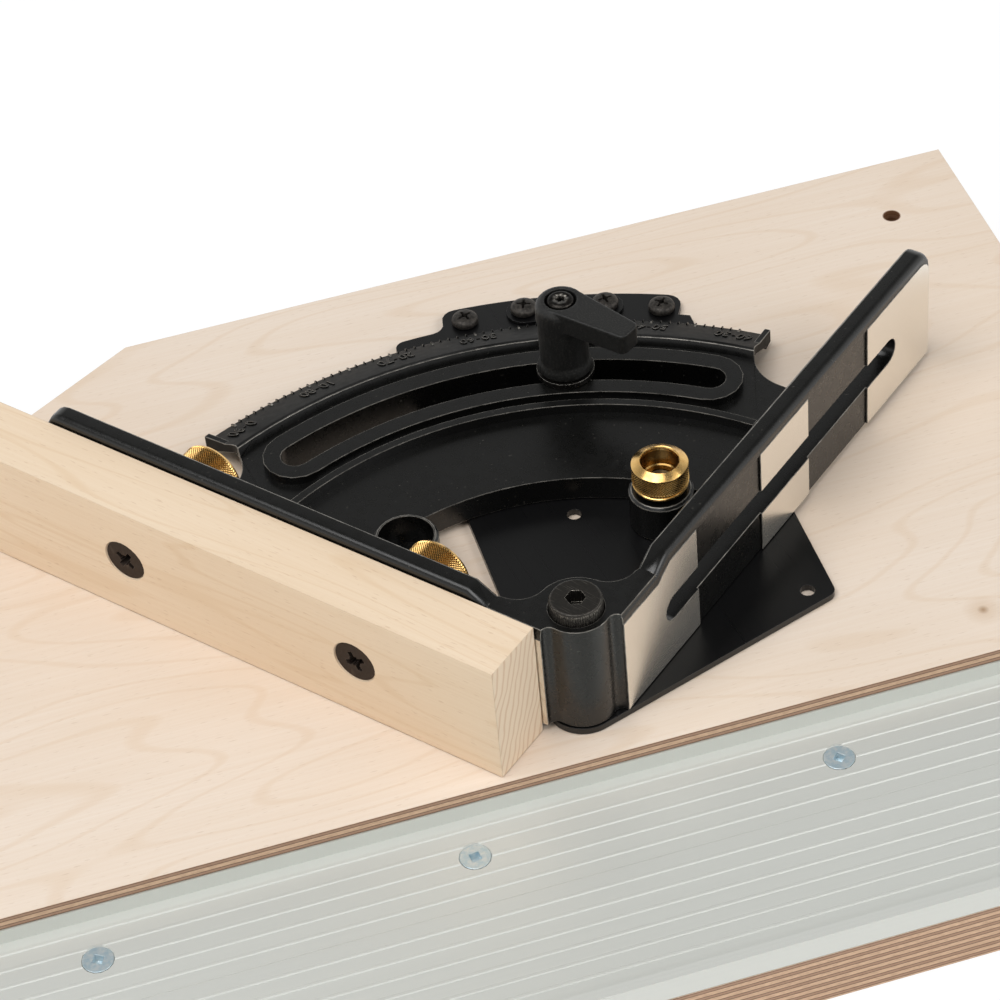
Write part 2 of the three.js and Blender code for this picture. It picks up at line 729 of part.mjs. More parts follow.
// The quadrant's outline, which reaches a little into the wings' backs
function quadrantOutline() {
  const root = wingBack + bite;
  const filletX = sideLine + sideFillet;
  const filletY = (filletX * Math.sin(rad(rimAngle)) - sideFillet) / Math.cos(rad(rimAngle));
  const innerEnd = degrees(Math.asin(root / webInner));
  return polygon([
    [sideLine, -root],
    ...arcPoints([filletX, filletY], sideFillet, 180, 90 + rimAngle, arcSteps / 2),
    ...arcPoints([0, 0], rimOuter, rimAngle, 90 - rimAngle, arcSteps),
    ...arcPoints([filletY, filletX], sideFillet, -rimAngle, -90, arcSteps / 2),
    [-root, sideLine],
    ...arcPoints([0, 0], webInner, 90 + innerEnd, -innerEnd, arcSteps),
  ]);
}
const rimLow = rimEdge - plateGap;
const quadrantRing = turn([
  [webInner - overrun, castBottom],
  [rimOuter + overrun, castBottom],
  [rimOuter + overrun, rimLow],
  [rimOuter, rimLow],
  [rimStart + rimLipWidth, rimTop],
  [rimStart, rimTop],
  [rimStart - rimLipWidth, webTop],
  [ribStart + ribWidth, webTop],
  [ribStart + ribWidth, webTop + ribHeight],
  [ribStart, webTop + ribHeight],
  [ribStart, webTop],
  [webInner - overrun, webTop],
  [webInner - overrun, castBottom],
], ringFacets);
const ringHigh = ringMiddle + ringHalf;
const slotFrom = pointerAngle - fenceMost;
const slotTo = pointerAngle;
// The raised ring's ends are set out from the slot's so that their wall is as named
const ringTuck = degrees((ringHalf - ringSlot / 2 - ringEnd) / studRadius);
const ringBand = (half) => band(ringMiddle, half, slotFrom + ringTuck, slotTo - ringTuck);
const ringPad = raise(ringBand(ringHalf), castBottom, webTop + ringHeight);
const ringCut = raise(
  band(studRadius, ringSlot / 2, slotFrom, slotTo),
  castBottom - overrun,
  rimTop + overrun,
);

// The bar along the rim's right end, drawn in radius and height
const rimFace = (radius) => (
  rimLow + ((rimTop - rimLow) * (rimOuter - radius)) / (rimOuter - rimStart - rimLipWidth)
);
const rimEndStart = rimOuter - rimEndLength;
const rimEnd = raise(polygon([
  [rimEndStart, rimFace(rimEndStart) - bite],
  [rimOuter, rimLow - bite],
  [rimOuter, rimLow + rimEndRise],
  [rimEndStart, rimFace(rimEndStart)],
]), 0, rimEndWidth).rotateX(Math.PI / 2).translate(0, rimEndWidth, 0).rotateZ(rad(rimAngle));

// The hollow cast into the underside: it runs out under both ends of the quadrant,
// keeps the web and the rim to one thickness, and leaves the ring, ribs and bosses solid
const ceiling = webTop - webThick;
const hollowInner = webInner + pocketWall;
const hollowOuter = rimOuter - pocketWall;
const rimCrest = rimStart + rimLipWidth;
const hollow = solid(turn([
  [hollowInner, castBottom - overrun],
  [hollowOuter, castBottom - overrun],
  [hollowOuter, rimFace(hollowOuter) - webThick],
  [rimCrest, rimTop - webThick],
  [ringHigh + pocketWall / 2, ceiling],
  [hollowInner, ceiling],
  [hollowInner, castBottom - overrun],
], ringFacets)).intersect(solid(block(
  [pocketWall - wingBack, pocketWall - wingBack, castBottom - overrun],
  [rimOuter, rimOuter, rimTop],
)));
const ringCore = solid(raise(ringBand(ringHalf + pocketWall / 2), castBottom - overrun, webTop));
const hollowRibs = pocketRibs.map((angle) => solid(
  block([webInner, -pocketRibWidth / 2, castBottom - overrun], [rimOuter, pocketRibWidth / 2, webTop])
    .rotateZ(rad(angle)),
));
const bossAngles = [pointerAngle - fenceMost, pointerAngle];
const bossPlaces = bossAngles.map((angle) => along(indexRadius, angle));
const bossColumns = bossPlaces.map(([x, y]) => solid(
  bar(2 * bossRadius, castBottom - overrun, webTop).translate(x, y, 0),
));
const hollowCut = cut(hollow, ringCore, ...hollowRibs, ...bossColumns);
const bosses = bossPlaces.map(([x, y]) => solid(turn([
  [0, castBottom],
  [bossRadius, castBottom],
  [bossRadius, bossTop - bossEdge],
  [bossRadius - bossEdge, bossTop],
  [0, bossTop],
], medium).translate(x, y, 0)));
const bossBores = bossPlaces.map(([x, y]) => solid(turn([
  [0, castBottom - overrun],
  [pinWidth / 2 + clearance, castBottom - overrun],
  [pinWidth / 2 + clearance, bossTop - bossEdge],
  [pinWidth / 2 + clearance + bossEdge, bossTop],
  [pinWidth / 2 + clearance + bossEdge, bossTop + overrun],
  [0, bossTop + overrun],
], medium).translate(x, y, 0)));

// The flat lane beside the right wing's back, above the web
const lane = block(
  [webInner, -wingBack, webTop],
  [sideLine + overrun, nutLane - wingBack, railTop + overrun],
);
const quadrant = cut(
  solid(quadrantRing).intersect(solid(raise(quadrantOutline(), castBottom - overrun, rimTop + overrun))),
  hollowCut,
);
const casting = cut(
  join(
    solid(hub),
    solid(wing),
    solid(mirrored(wing)),
    ...pads.map(solid),
    ...pads.map((pad) => solid(mirrored(pad))),
    quadrant,
    solid(rimEnd),
    solid(mirrored(rimEnd)),
    solid(ringPad),
    ...bosses,
  ),
  solid(wingSlot),
  solid(mirrored(wingSlot)),
  solid(pivotBore),
  solid(ringCut),
  solid(lane),
  solid(mirrored(lane)),
  ...bossBores,
);
piece("fence_casting", casting, "blackPaint", fence);

// Clamp stud, from a head sunk in the table under the plate
piece("clamp_stud", turn([
  [0, -studHeadThick],
  [studHeadWidth / 2, -studHeadThick],
  [studHeadWidth / 2, 0],
  [studWidth / 2, 0],
  [studWidth / 2, studTop],
  [0, studTop],
]), "steel", clamp);
const washerFoot = webTop + ringHeight + clearance;
piece("clamp_washer", cut(
  solid(bar(washerWidth, washerFoot, washerFoot + washerThick)),
  solid(bar(studWidth + 2 * clearance, washerFoot - overrun, washerFoot + washerThick + overrun)),
), "steel", clamp);

// Lever: a moulded handle over a steel insert, held down by a spring under a screw
const leverFoot = washerFoot + washerThick + clearance;
const screwBore = leverScrewWidth + 2 * clearance;
piece("lever_insert", cut(
  solid(bar(insertWidth, leverFoot, insertTop)),
  solid(bar(studWidth + 2 * clearance, leverFoot - overrun, studTop + clearance)),
  solid(bar(screwBore, studTop, insertTop + overrun, coarse)),
), "steel", clamp);
const screwTop = leverTop + leverScrewProud;
const screwSeat = screwTop - leverScrewHeadThick;
piece("lever_screw", turn([
  [0, insertTop - leverScrewReach],
  [leverScrewWidth / 2, insertTop - leverScrewReach],
  [leverScrewWidth / 2, screwSeat],
  [leverScrewHead / 2, screwSeat],
  [leverScrewHead / 2, screwTop - leverScrewEdge],
  [leverScrewHead / 2 - leverScrewEdge, screwTop],
  [0, screwTop],
], coarse), "blackSteel", clamp);
const shelfTop = insertTop + clearance + leverShelf;

// The spring between the shelf and the screw's head
class Helix extends THREE.Curve {
  getPoint(t, target = new THREE.Vector3()) {
    const low = shelfTop + clearance + springWire / 2;
    const high = screwSeat - clearance - springWire / 2;
    const [x, y] = along((springWidth - springWire) / 2, 360 * springTurns * t);
    return target.set(x, y, low + (high - low) * t);
  }
}
const springSection = polygon(arcPoints([0, 0], springWire / 2, 0, 360, springSides).slice(1));
piece("lever_spring", new THREE.ExtrudeGeometry(springSection, {
  steps: springTurns * springSteps,
  bevelEnabled: false,
  extrudePath: new Helix(),
}), "steel", clamp);

const armFoot = leverTop - armThick;
const headShoulder = Array.from({ length: roundSteps + 1 }, (_, i) => {
  const [across, rise] = along(leverShoulder, (90 * i) / roundSteps);
  return [leverHead / 2 - leverShoulder + across, leverTop - leverShoulder + rise];
});
const handleBody = turn([
  [0, leverFoot],
  [leverFlange / 2, leverFoot],
  [leverFlange / 2, leverFoot + leverFlangeThick],
  [leverWaist / 2, leverFoot + 2 * leverFlangeThick],
  [leverWaist / 2, armFoot - leverFlangeThick],
  [leverHead / 2, armFoot],
  ...headShoulder,
  [0, leverTop],
]);

// The arm's outline: a taper from the head to a blunt end with round corners
function armOutline() {
  const half = armTipWidth / 2;
  const root = leverHead / 2 - leverShoulder / 2;
  const end = armLength - armTipRound;
  return polygon([
    [0, -root],
    ...arcPoints([end, armTipRound - half], armTipRound, -90, 0, roundSteps),
    ...arcPoints([end, half - armTipRound], armTipRound, 0, 90, roundSteps),
    [0, root],
  ]);
}
piece("lever_handle", cut(
  join(solid(handleBody), solid(raise(armOutline(), armFoot, leverTop).rotateZ(rad(armAngle)))),
  solid(bar(insertWidth + 2 * clearance, leverFoot - overrun, insertTop + clearance)),
  solid(bar(screwBore, insertTop, shelfTop + overrun, coarse)),
  solid(bar(leverRecess, shelfTop, leverTop + overrun)),
), "nylon", clamp);

// Index pin, standing on the plate between two holes, and the knob that lifts it
const [pinPlace] = bossPlaces;
const pinFoot = plateFace + clearance;
const pinTaper = (pinWidth - pinTipWidth) / 2;
piece("index_pin", turn([
  [0, pinFoot],
  [pinTipWidth / 2, pinFoot],
  [pinTipWidth / 2, pinFoot + pinTipLength],
  [pinWidth / 2, pinFoot + pinTipLength + pinTaper],
  [pinWidth / 2, knobBottom + knobFloor],
  [0, knobBottom + knobFloor],
]), "steel", fence).position.set(...pinPlace, 0);
const knobHalf = knobWidth / 2;
piece("index_knob", cut(
  solid(turn([
    [0, knobBottom],
    [knobHalf - knobGrooveDepth, knobBottom],
    [knobHalf - knobGrooveDepth, knobBottom + knobPlainRing],
    [knobHalf, knobBottom + knobPlainRing + knobGrooveDepth],
    [knobHalf, knobTop - knobEdge],
    [knobHalf - knobEdge, knobTop],
    [0, knobTop],
  ], fine)),
  solid(bar(knobBore, knobBottom + knobFloor, knobTop + overrun)),
  solid(bar(pinWidth + 2 * clearance, knobBottom - overrun, knobTop)),
), "brass", fence).position.set(...pinPlace, 0);

// Wood face on the left wing, which lies along Y here, with its bolts and thumb nuts
const woodBack = faceOut + clearance;
const woodFront = woodBack + woodThick;
const boltShank = boltWidth / 2;
const boltHole = (u) => turn([
  [0, -woodFront],
  [boltShank + clearance, -woodFront],
  [boltShank + clearance, -boltHeadDeep - clearance],
  [boltHead / 2 + clearance, 0],
  [boltHead / 2 + clearance, overrun],
  [0, overrun],
]).rotateY(-Math.PI / 2).translate(boltSink - woodFront, u, slotCentre);
piece("wood_face", cut(
  solid(block([-woodFront, woodStart, clearance], [-woodBack, woodStart + woodLength, woodTop])),
  ...boltPlaces.map((u) => solid(boltHole(u))),
), "maple", fence);
boltPlaces.forEach((u, i) => {
  const bolt = piece("face_bolt_" + (i + 1), turn([
    [0, -boltLength],
    [boltShank, -boltLength],
    [boltShank, -boltHeadDeep],
    [boltHead / 2, 0],
    [0, 0],
  ]), "blackSteel", fence);
  bolt.rotation.y = -Math.PI / 2;
  bolt.position.set(boltSink - woodFront, u, slotCentre);
  const collar = clearance + thumbCollarLength;
  const nut = piece("thumb_nut_" + (i + 1), cut(
    solid(turn([
      [0, clearance],
      [thumbCollar / 2, clearance],
      [thumbCollar / 2, collar],
      [thumbWidth / 2 - thumbEdge, collar],
      [thumbWidth / 2, collar + thumbEdge],
      [thumbWidth / 2, collar + thumbLength - thumbEdge],
      [thumbWidth / 2 - thumbEdge, collar + thumbLength],
      [0, collar + thumbLength],
    ])),
    solid(bar(boltWidth + 2 * clearance, -overrun, collar + thumbLength + overrun)),
  ), "brass", fence);
  nut.rotation.y = Math.PI / 2;
  nut.position.set(-wingBack, u, slotCentre);
});

export default board;
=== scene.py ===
import json
import math

import bpy
from mathutils import Matrix, Vector

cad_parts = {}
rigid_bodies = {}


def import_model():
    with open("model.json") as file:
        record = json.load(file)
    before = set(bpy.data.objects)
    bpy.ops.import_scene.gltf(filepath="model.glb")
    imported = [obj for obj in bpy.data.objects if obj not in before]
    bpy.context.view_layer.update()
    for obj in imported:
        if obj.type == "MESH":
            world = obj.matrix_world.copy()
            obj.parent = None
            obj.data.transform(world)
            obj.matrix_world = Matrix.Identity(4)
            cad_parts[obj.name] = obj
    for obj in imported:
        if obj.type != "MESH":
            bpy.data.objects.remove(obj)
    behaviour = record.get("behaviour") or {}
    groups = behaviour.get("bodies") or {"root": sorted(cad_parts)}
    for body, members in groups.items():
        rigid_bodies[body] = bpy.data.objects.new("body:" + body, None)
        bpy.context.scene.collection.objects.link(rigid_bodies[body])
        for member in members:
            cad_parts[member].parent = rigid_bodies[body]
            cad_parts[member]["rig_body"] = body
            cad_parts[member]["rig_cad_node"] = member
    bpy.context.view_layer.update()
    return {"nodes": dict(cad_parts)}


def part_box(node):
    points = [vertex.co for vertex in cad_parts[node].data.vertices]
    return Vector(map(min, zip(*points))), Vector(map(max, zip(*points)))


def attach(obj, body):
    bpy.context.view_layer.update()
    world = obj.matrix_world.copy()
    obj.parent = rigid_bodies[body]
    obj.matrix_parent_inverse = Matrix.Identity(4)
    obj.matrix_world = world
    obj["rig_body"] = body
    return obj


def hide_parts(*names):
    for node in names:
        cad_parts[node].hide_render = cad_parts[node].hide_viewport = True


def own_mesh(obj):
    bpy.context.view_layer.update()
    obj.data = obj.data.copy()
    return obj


for left_over in list(bpy.data.objects):
    bpy.data.objects.remove(left_over)
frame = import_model()

# Boards. A table of 12 mm birch plywood is screwed to a base of 18 mm. The faces are
# rotary-cut veneer, sanded and left bare, and the sawn edges show the crossed plies.
mm = 0.001
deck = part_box("table_board")[1].z


def rgb(code):
    """The linear colour of an sRGB hex value, with alpha."""
    parts = [int(code[i:i + 2], 16) / 255 for i in (1, 3, 5)]
    return [*(c / 12.92 if c <= 0.04045 else ((c + 0.055) / 1.055) ** 2.4 for c in parts), 1]


def feed(tree, node, inputs):
    """Sets a node's inputs: to values, or by links from sockets or from nodes' first outputs."""
    for name, value in inputs.items():
        source = value.outputs[0] if isinstance(value, bpy.types.Node) else value
        if isinstance(source, bpy.types.NodeSocket):
            tree.links.new(source, node.inputs[name])
        else:
            node.inputs[name].default_value = source


def add(tree, kind, *inputs, **settings):
    """Adds a node with its settings. Its inputs are given in their order, or by name in a dict."""
    made = tree.nodes.new("ShaderNode" + kind)
    for name, value in settings.items():
        setattr(made, name, value)
    by_name = inputs and isinstance(inputs[0], dict)
    feed(tree, made, inputs[0] if by_name else dict(enumerate(inputs)))
    return made


def new_finish(name, **shader_values):
    """A material with its node tree and its shader, whose values are given by socket name."""
    made = bpy.data.materials.new(name)
    made.use_nodes = True
    shader = made.node_tree.nodes["Principled BSDF"]
    for socket, value in shader_values.items():
        shader.inputs[socket.replace("_", " ")].default_value = value
    return made, made.node_tree, shader


def dress(finish, *names):
    """Gives CAD nodes this finish."""
    for name in names:
        frame["nodes"][name].data.materials.clear()
        frame["nodes"][name].data.materials.append(finish)


def blotches(tree, place, size, turn=0, detail=2, rough=0.5):
    """Noise whose blotches have this size (X, Y, Z) in millimetres, along axes turned about Z."""
    placed = add(tree, "Mapping", {"Vector": place, "Rotation": (0, 0, -turn)})
    scaled = add(tree, "Mapping", {"Vector": placed, "Scale": [1 / (s * mm) for s in size]})
    noise = {"Vector": scaled, "Scale": 1, "Detail": detail, "Roughness": rough}
    return add(tree, "TexNoise", noise)


def wood_grain(tree, place, turn, pale, tan, fleck, figure, rings):
    """Colour of a long-grain face: fibres, faint growth rings and short pores.

    They run along X before the turn. The figure is the size in millimetres of the growth
    rings' bends, and rings is how many of them the whole figure has.
    """
    fibre = blotches(tree, place, (60, 0.9, 0.9), turn, 4, 0.6)
    wander = blotches(tree, place, figure, turn, 1, 0.4)
    phase = add(tree, "Math", wander, rings * 2 * math.pi, operation="MULTIPLY")
    ring = add(tree, "Math", phase, operation="SINE")
    line = add(tree, "MapRange", ring, 0.82, 1, 0, 0.32)
    cloud = blotches(tree, place, (170, 60, 60), turn)
    pores = blotches(tree, place, (3, 0.4, 0.4), turn, 0)
    cloud_share = add(tree, "MapRange", cloud, 0.3, 0.7, 0, 0.35)
    body = add(tree, "MixRGB", cloud_share, rgb(pale), rgb(tan))
    ringed = add(tree, "MixRGB", line, body, rgb(tan))
    fibre_share = add(tree, "MapRange", fibre, 0.3, 0.75, 0, 0.3)
    grained = add(tree, "MixRGB", fibre_share, ringed, rgb(tan))
    pore_share = add(tree, "MapRange", pores, 0.72, 0.82, 0, 0.22)
    return add(tree, "MixRGB", pore_share, grained, rgb(fleck)), fibre


# A thin and a thick ply make a pair, and the face is sanded down to this far into one.
ply_pair = 2.6 * mm
thin_share = 0.4
sanded_off = 2.3 * mm


def birch_plywood(name, top):
    """Plywood lying flat, its top face at this height, with thin and thick plies by turns."""
    finish, tree, shader = new_finish(name, Roughness=0.62, IOR=1.45, Specular_IOR_Level=0.3)
    place = add(tree, "TexCoord").outputs["Object"]
    veneer, fibre = wood_grain(tree, place, 0, "#efe1d3", "#dfc6ab", "#b08d68",
                               (190, 42, 42), 16)
    height = add(tree, "SeparateXYZ", place).outputs["Z"]
    below = add(tree, "Math", top, height, operation="SUBTRACT")
    depth = add(tree, "Math", below, sanded_off, operation="ADD")
    pairs = add(tree, "Math", depth, ply_pair, operation="DIVIDE")
    ply = add(tree, "Math", pairs, operation="FRACT")
    thin = add(tree, "Math", ply, thin_share, operation="LESS_THAN")
    from_thin = add(tree, "Math", ply, thin_share, operation="SUBTRACT")
    inner_line = add(tree, "Math", from_thin, operation="ABSOLUTE")
    outer_line = add(tree, "Math", ply, 0.5, operation="PINGPONG")
    line = add(tree, "Math", inner_line, outer_line, operation="MINIMUM")
    glue = add(tree, "MapRange", line, 0.025, 0.07, 0.85, 0)
    sawn = add(tree, "MixRGB", thin, rgb("#d9b99c"), rgb("#b0907a"))
    fuzz = blotches(tree, place, (1.6, 1.6, 0.35), 0, 3)
    fuzz_share = add(tree, "MapRange", fuzz, 0.35, 0.7, 0, 0.4)
    streaked = add(tree, "MixRGB", fuzz_share, sawn, rgb("#94705a"))
    edge = add(tree, "MixRGB", glue, streaked, rgb("#5b3f31"))
    faces = add(tree, "SeparateXYZ", add(tree, "NewGeometry").outputs["True Normal"])
    upright = add(tree, "Math", faces.outputs["Z"], operation="ABSOLUTE")
    flat = add(tree, "Math", upright, 0.5, operation="GREATER_THAN")
    eased = add(tree, "Bevel", {"Radius": 0.25 * mm}, samples=4)
    relief = {"Strength": 0.25, "Distance": 0.05 * mm, "Height": fibre, "Normal": eased}
    feed(tree, shader, {"Base Color": add(tree, "MixRGB", flat, edge, veneer),
                        "Normal": add(tree, "Bump", relief)})
    return finish


def add_stain(finish, place, reach, darker_colour, most):
    """Darkens a spot of the finish round a place in millimetres: a knot's dark spot, and the
    painted shade of a drilled hole.

    It fades from the first radius of the reach to its full share at the second.
    """
    tree = finish.node_tree
    shader = tree.nodes["Principled BSDF"]
    before = shader.inputs["Base Color"].links[0].from_socket
    spot = add(tree, "TexCoord").outputs["Object"]
    flattened = add(tree, "VectorMath", spot, (1, 1, 0), operation="MULTIPLY")
    away = add(tree, "VectorMath", flattened, [c * mm for c in place], operation="DISTANCE")
    inside = add(tree, "MapRange", away.outputs["Value"], reach[0] * mm, reach[1] * mm, 0, most)
    feed(tree, shader, {"Base Color": add(tree, "MixRGB", inside, before, rgb(darker_colour))})


knot_place = (112, -3, 0)
painted_hole_shade_place = (150.4, 163.9, 0)
table_birch = birch_plywood("birch_plywood_table", deck)
add_stain(table_birch, knot_place, (1.7, 0.2), "#7d5a3a", 0.7)
add_stain(table_birch, knot_place, (6, 1), "#c39e74", 0.35)
# A dark disc where the hole is drilled: painted shade.
add_stain(table_birch, painted_hole_shade_place, (2.9, 2.6), "#6d4527", 0.85)
base_birch = birch_plywood("birch_plywood_base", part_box("base_board")[1].z)
dress(table_birch, "table_board")
dress(base_birch, "base_board")

# Plane track: an aluminium extrusion with a matt natural anodised skin. The die leaves
# fine straight lines along its length, and the skin is a pale, slightly green grey.
track_skin, tree, shader = new_finish("anodised_aluminium", Base_Color=rgb("#d8dad5"),
                                      Metallic=0.35)
place = add(tree, "TexCoord").outputs["Object"]
die_lines = blotches(tree, place, (900, 0.5, 0.5), 0, 3)
rough = add(tree, "MapRange", die_lines, 0.3, 0.7, 0.42, 0.54)
relief = {"Strength": 0.2, "Distance": 0.02 * mm, "Height": die_lines}
feed(tree, shader, {"Roughness": rough, "Normal": add(tree, "Bump", relief)})
dress(track_skin, "plane_track")

# Track and base screws: number 8 flat-head wood screws with a square recess, cold
# headed from wire. Zinc plate under a clear blue passivate makes them a bright, slightly
# blue grey.
def alone(piece):
    """Leaves this piece as the only one selected, and active."""
    bpy.ops.object.select_all(action="DESELECT")
    piece.select_set(True)
    bpy.context.view_layer.objects.active = piece


def turned(name, profile, facets, smooth_angle=30):
    """Spins a profile of (radius, height) points in millimetres round Z, from the bottom up."""
    bpy.ops.object.select_all(action="DESELECT")
    bpy.ops.mesh.primitive_plane_add(size=mm)
    piece = bpy.context.object
    piece.name = piece.data.name = name
    bpy.ops.object.mode_set(mode="EDIT")
    bpy.ops.mesh.select_mode(type="VERT")
    bpy.ops.mesh.select_all(action="SELECT")
    bpy.ops.mesh.merge(type="CENTER")
    bpy.ops.transform.translate(value=(profile[0][0] * mm, 0, profile[0][1] * mm))
    for (r0, z0), (r1, z1) in zip(profile, profile[1:]):
        step = ((r1 - r0) * mm, 0, (z1 - z0) * mm)
        bpy.ops.mesh.extrude_vertices_move(TRANSFORM_OT_translate={"value": step})
    bpy.ops.mesh.select_all(action="SELECT")
    bpy.ops.mesh.spin(steps=facets, angle=2 * math.pi, center=(0, 0, 0), axis=(0, 0, 1))
    bpy.ops.mesh.select_all(action="SELECT")
    bpy.ops.mesh.remove_doubles(threshold=0.002 * mm)
    bpy.ops.mesh.normals_make_consistent(inside=False)
    bpy.ops.object.mode_set(mode="OBJECT")
    bpy.ops.object.shade_smooth_by_angle(angle=math.radians(smooth_angle))
    return piece


def carve(piece, *cutters):
    """Cuts each cutter out of the piece and throws the cutter away."""
    alone(piece)
    for cutter in cutters:
        hollow = piece.modifiers.new("hollow", "BOOLEAN")
        hollow.operation = "DIFFERENCE"
        hollow.solver = "EXACT"
        hollow.object = cutter
        bpy.ops.object.modifier_apply(modifier=hollow.name)
        bpy.data.objects.remove(cutter)


def tapered_pin(sides, across, depth, top, turn=0.0, point_share=0.8):
    """A recess cutter: a pin with flats, standing down from this height, in millimetres."""
    radius = across / 2 / math.cos(math.pi / sides) * mm
    bpy.ops.mesh.primitive_cone_add(vertices=sides, radius1=radius * point_share, radius2=radius,
                                    depth=2 * depth * mm, location=(0, 0, top * mm),
                                    rotation=(0, 0, turn))
    pin = bpy.context.object
    bpy.ops.object.transform_apply(location=True, rotation=True, scale=True)
    return pin


def set_down(piece, place, face=(0, 0, 1), turn=0.0):
    """Turns the piece about Z, then stands its Z on this direction at this place, in its mesh."""
    alone(piece)
    stand = Vector(face).to_track_quat("Z", "Y").to_matrix().to_4x4()
    piece.matrix_world = Matrix.Translation(place) @ stand @ Matrix.Rotation(turn, 4, "Z")
    bpy.ops.object.transform_apply(location=True, rotation=True, scale=True)


def middle_at(low, high, height):
    """The point in the middle of a box's plan, at this height."""
    return Vector(((low.x + high.x) / 2, (low.y + high.y) / 2, height))


def another(piece, name):
    """A copy with its own mesh."""
    copied = piece.copy()
    copied.data = piece.data.copy()
    copied.name = copied.data.name = name
    bpy.context.scene.collection.objects.link(copied)
    return copied


def hand_over(piece, node_name, body, finish):
    """The piece takes its finish, rides on its body and stands for its CAD node."""
    piece.data.materials.clear()
    piece.data.materials.append(finish)
    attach(piece, body)
    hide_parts(node_name)


zinc, tree, shader = new_finish("zinc_plate_blue_passivate", Metallic=0.6, Roughness=0.3)
place = add(tree, "TexCoord").outputs["Object"]
haze = blotches(tree, place, (1.2, 1.2, 1.2), 0, 3)
haze_share = add(tree, "MapRange", haze, 0.35, 0.65)
hazed = add(tree, "MixRGB", haze_share, rgb("#c2d9e4"), rgb("#dfe9ec"))
eased = add(tree, "Bevel", {"Radius": 0.2 * mm}, samples=4)
relief = {"Strength": 0.35, "Distance": 0.03 * mm, "Height": haze, "Normal": eased}
feed(tree, shader, {"Base Color": hazed, "Normal": add(tree, "Bump", relief)})


def wood_screw_profile(length, point=5, root=1.45, crest=2.0, pitch=2.2, start=9):
    """Point, thread turns as rings, and shank, up to the underside of the head."""
    turns = [(0, -length), (root, point - length)]
    height = point - length
    while height + pitch < -start:
        turns += [(root, height), (crest, height + pitch / 2), (root, height + pitch)]
        height += pitch
    return turns + [(root, height + 0.2)]


screw_facets = 40
neck = -2.6
flat_head = [(4.0, -0.35), (4.15, -0.12), (4.05, 0), (0, 0)]
square_across = 3.0
square_depth = 2.1
flat_profile = [*wood_screw_profile(16, start=6), (1.7, neck), *flat_head]
flat_screw = turned("flat_screw", flat_profile, screw_facets)
carve(flat_screw, tapered_pin(4, square_across, square_depth, 0, math.radians(38)))
long_flat_profile = [*wood_screw_profile(25), (1.9, neck), *flat_head]
long_flat_screw = turned("long_flat_screw", long_flat_profile, screw_facets)
carve(long_flat_screw, tapered_pin(4, square_across, square_depth, 0))
track_screw_count = 5
for number in range(1, track_screw_count + 1):
    low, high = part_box(f"track_screw_{number}")
    screw = another(flat_screw, f"track_wood_screw_{number}")
    set_down(screw, middle_at(low, high, high.z), turn=0.9 * (number - 1))
    hand_over(screw, f"track_screw_{number}", "board", zinc)
base_screw_count = 6
for number in range(1, base_screw_count + 1):
    low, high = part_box(f"base_screw_{number}")
    screw = another(long_flat_screw, f"base_wood_screw_{number}")
    set_down(screw, middle_at(low, high, low.z), (0, 0, -1), 0.7 * number)
    hand_over(screw, f"base_screw_{number}", "board", zinc)
bpy.data.objects.remove(flat_screw)
bpy.data.objects.remove(long_flat_screw)

# Index plate and pointer plate: 2 mm and 0.8 mm steel, laser cut and powder coated in
# a smooth semi-gloss black that has faint rolling marks under it.
plate_black, tree, shader = new_finish("powder_coated_black_plate", Base_Color=rgb("#0a0a0b"),
                                       IOR=1.5)
place = add(tree, "TexCoord").outputs["Object"]
rolling = blotches(tree, place, (1.2, 90, 1.2), math.radians(8), 3)
rough = add(tree, "MapRange", rolling, 0.3, 0.7, 0.27, 0.31)
eased = add(tree, "Bevel", {"Radius": 0.25 * mm}, samples=4)
relief = {"Strength": 0.05, "Distance": 0.03 * mm, "Height": rolling, "Normal": eased}
feed(tree, shader, {"Roughness": rough, "Normal": add(tree, "Bump", relief)})
dress(plate_black, "index_plate", "pointer_plate")

# Plate screws: pan-head wood screws with a cross recess, blackened and lightly oiled,
# so that the heads are a dusty brown black.
black_screw_finish, tree, shader = new_finish("blackened_steel", Metallic=0.55, Roughness=0.5)
place = add(tree, "TexCoord").outputs["Object"]
dust = blotches(tree, place, (0.9, 0.9, 0.9), 0, 4)
dust_share = add(tree, "MapRange", dust, 0.4, 0.7)
dusty = add(tree, "MixRGB", dust_share, rgb("#2b2825"), rgb("#4a4540"))
eased = add(tree, "Bevel", {"Radius": 0.25 * mm}, samples=4)
relief = {"Strength": 0.5, "Distance": 0.08 * mm, "Height": dust, "Normal": eased}
feed(tree, shader, {"Base Color": dusty, "Normal": add(tree, "Bump", relief)})


def cross_cutters(reach, wide, depth, top):
    """The two blades and the core of a cross recess, standing down from this height."""
    blades = []
    for quarter in (0, math.pi / 2):
        bpy.ops.mesh.primitive_cube_add(size=1, location=(0, 0, top * mm), rotation=(0, 0, quarter))
        blade = bpy.context.object
        blade.scale = (reach * mm, wide * mm, 2 * depth * mm)
        bpy.ops.object.transform_apply(location=True, rotation=True, scale=True)
        bpy.ops.object.mode_set(mode="EDIT")
        bpy.ops.mesh.select_all(action="DESELECT")
        bpy.ops.object.mode_set(mode="OBJECT")
        for corner in blade.data.vertices:
            corner.select = corner.co.z < top * mm
        bpy.ops.object.mode_set(mode="EDIT")
        bpy.ops.transform.resize(value=(0.45, 0.45, 1))
        bpy.ops.object.mode_set(mode="OBJECT")
        blades.append(blade)
    core_across = wide * 1.9
    return [*blades, tapered_pin(4, core_across, depth, top, math.pi / 4, 0.4)]


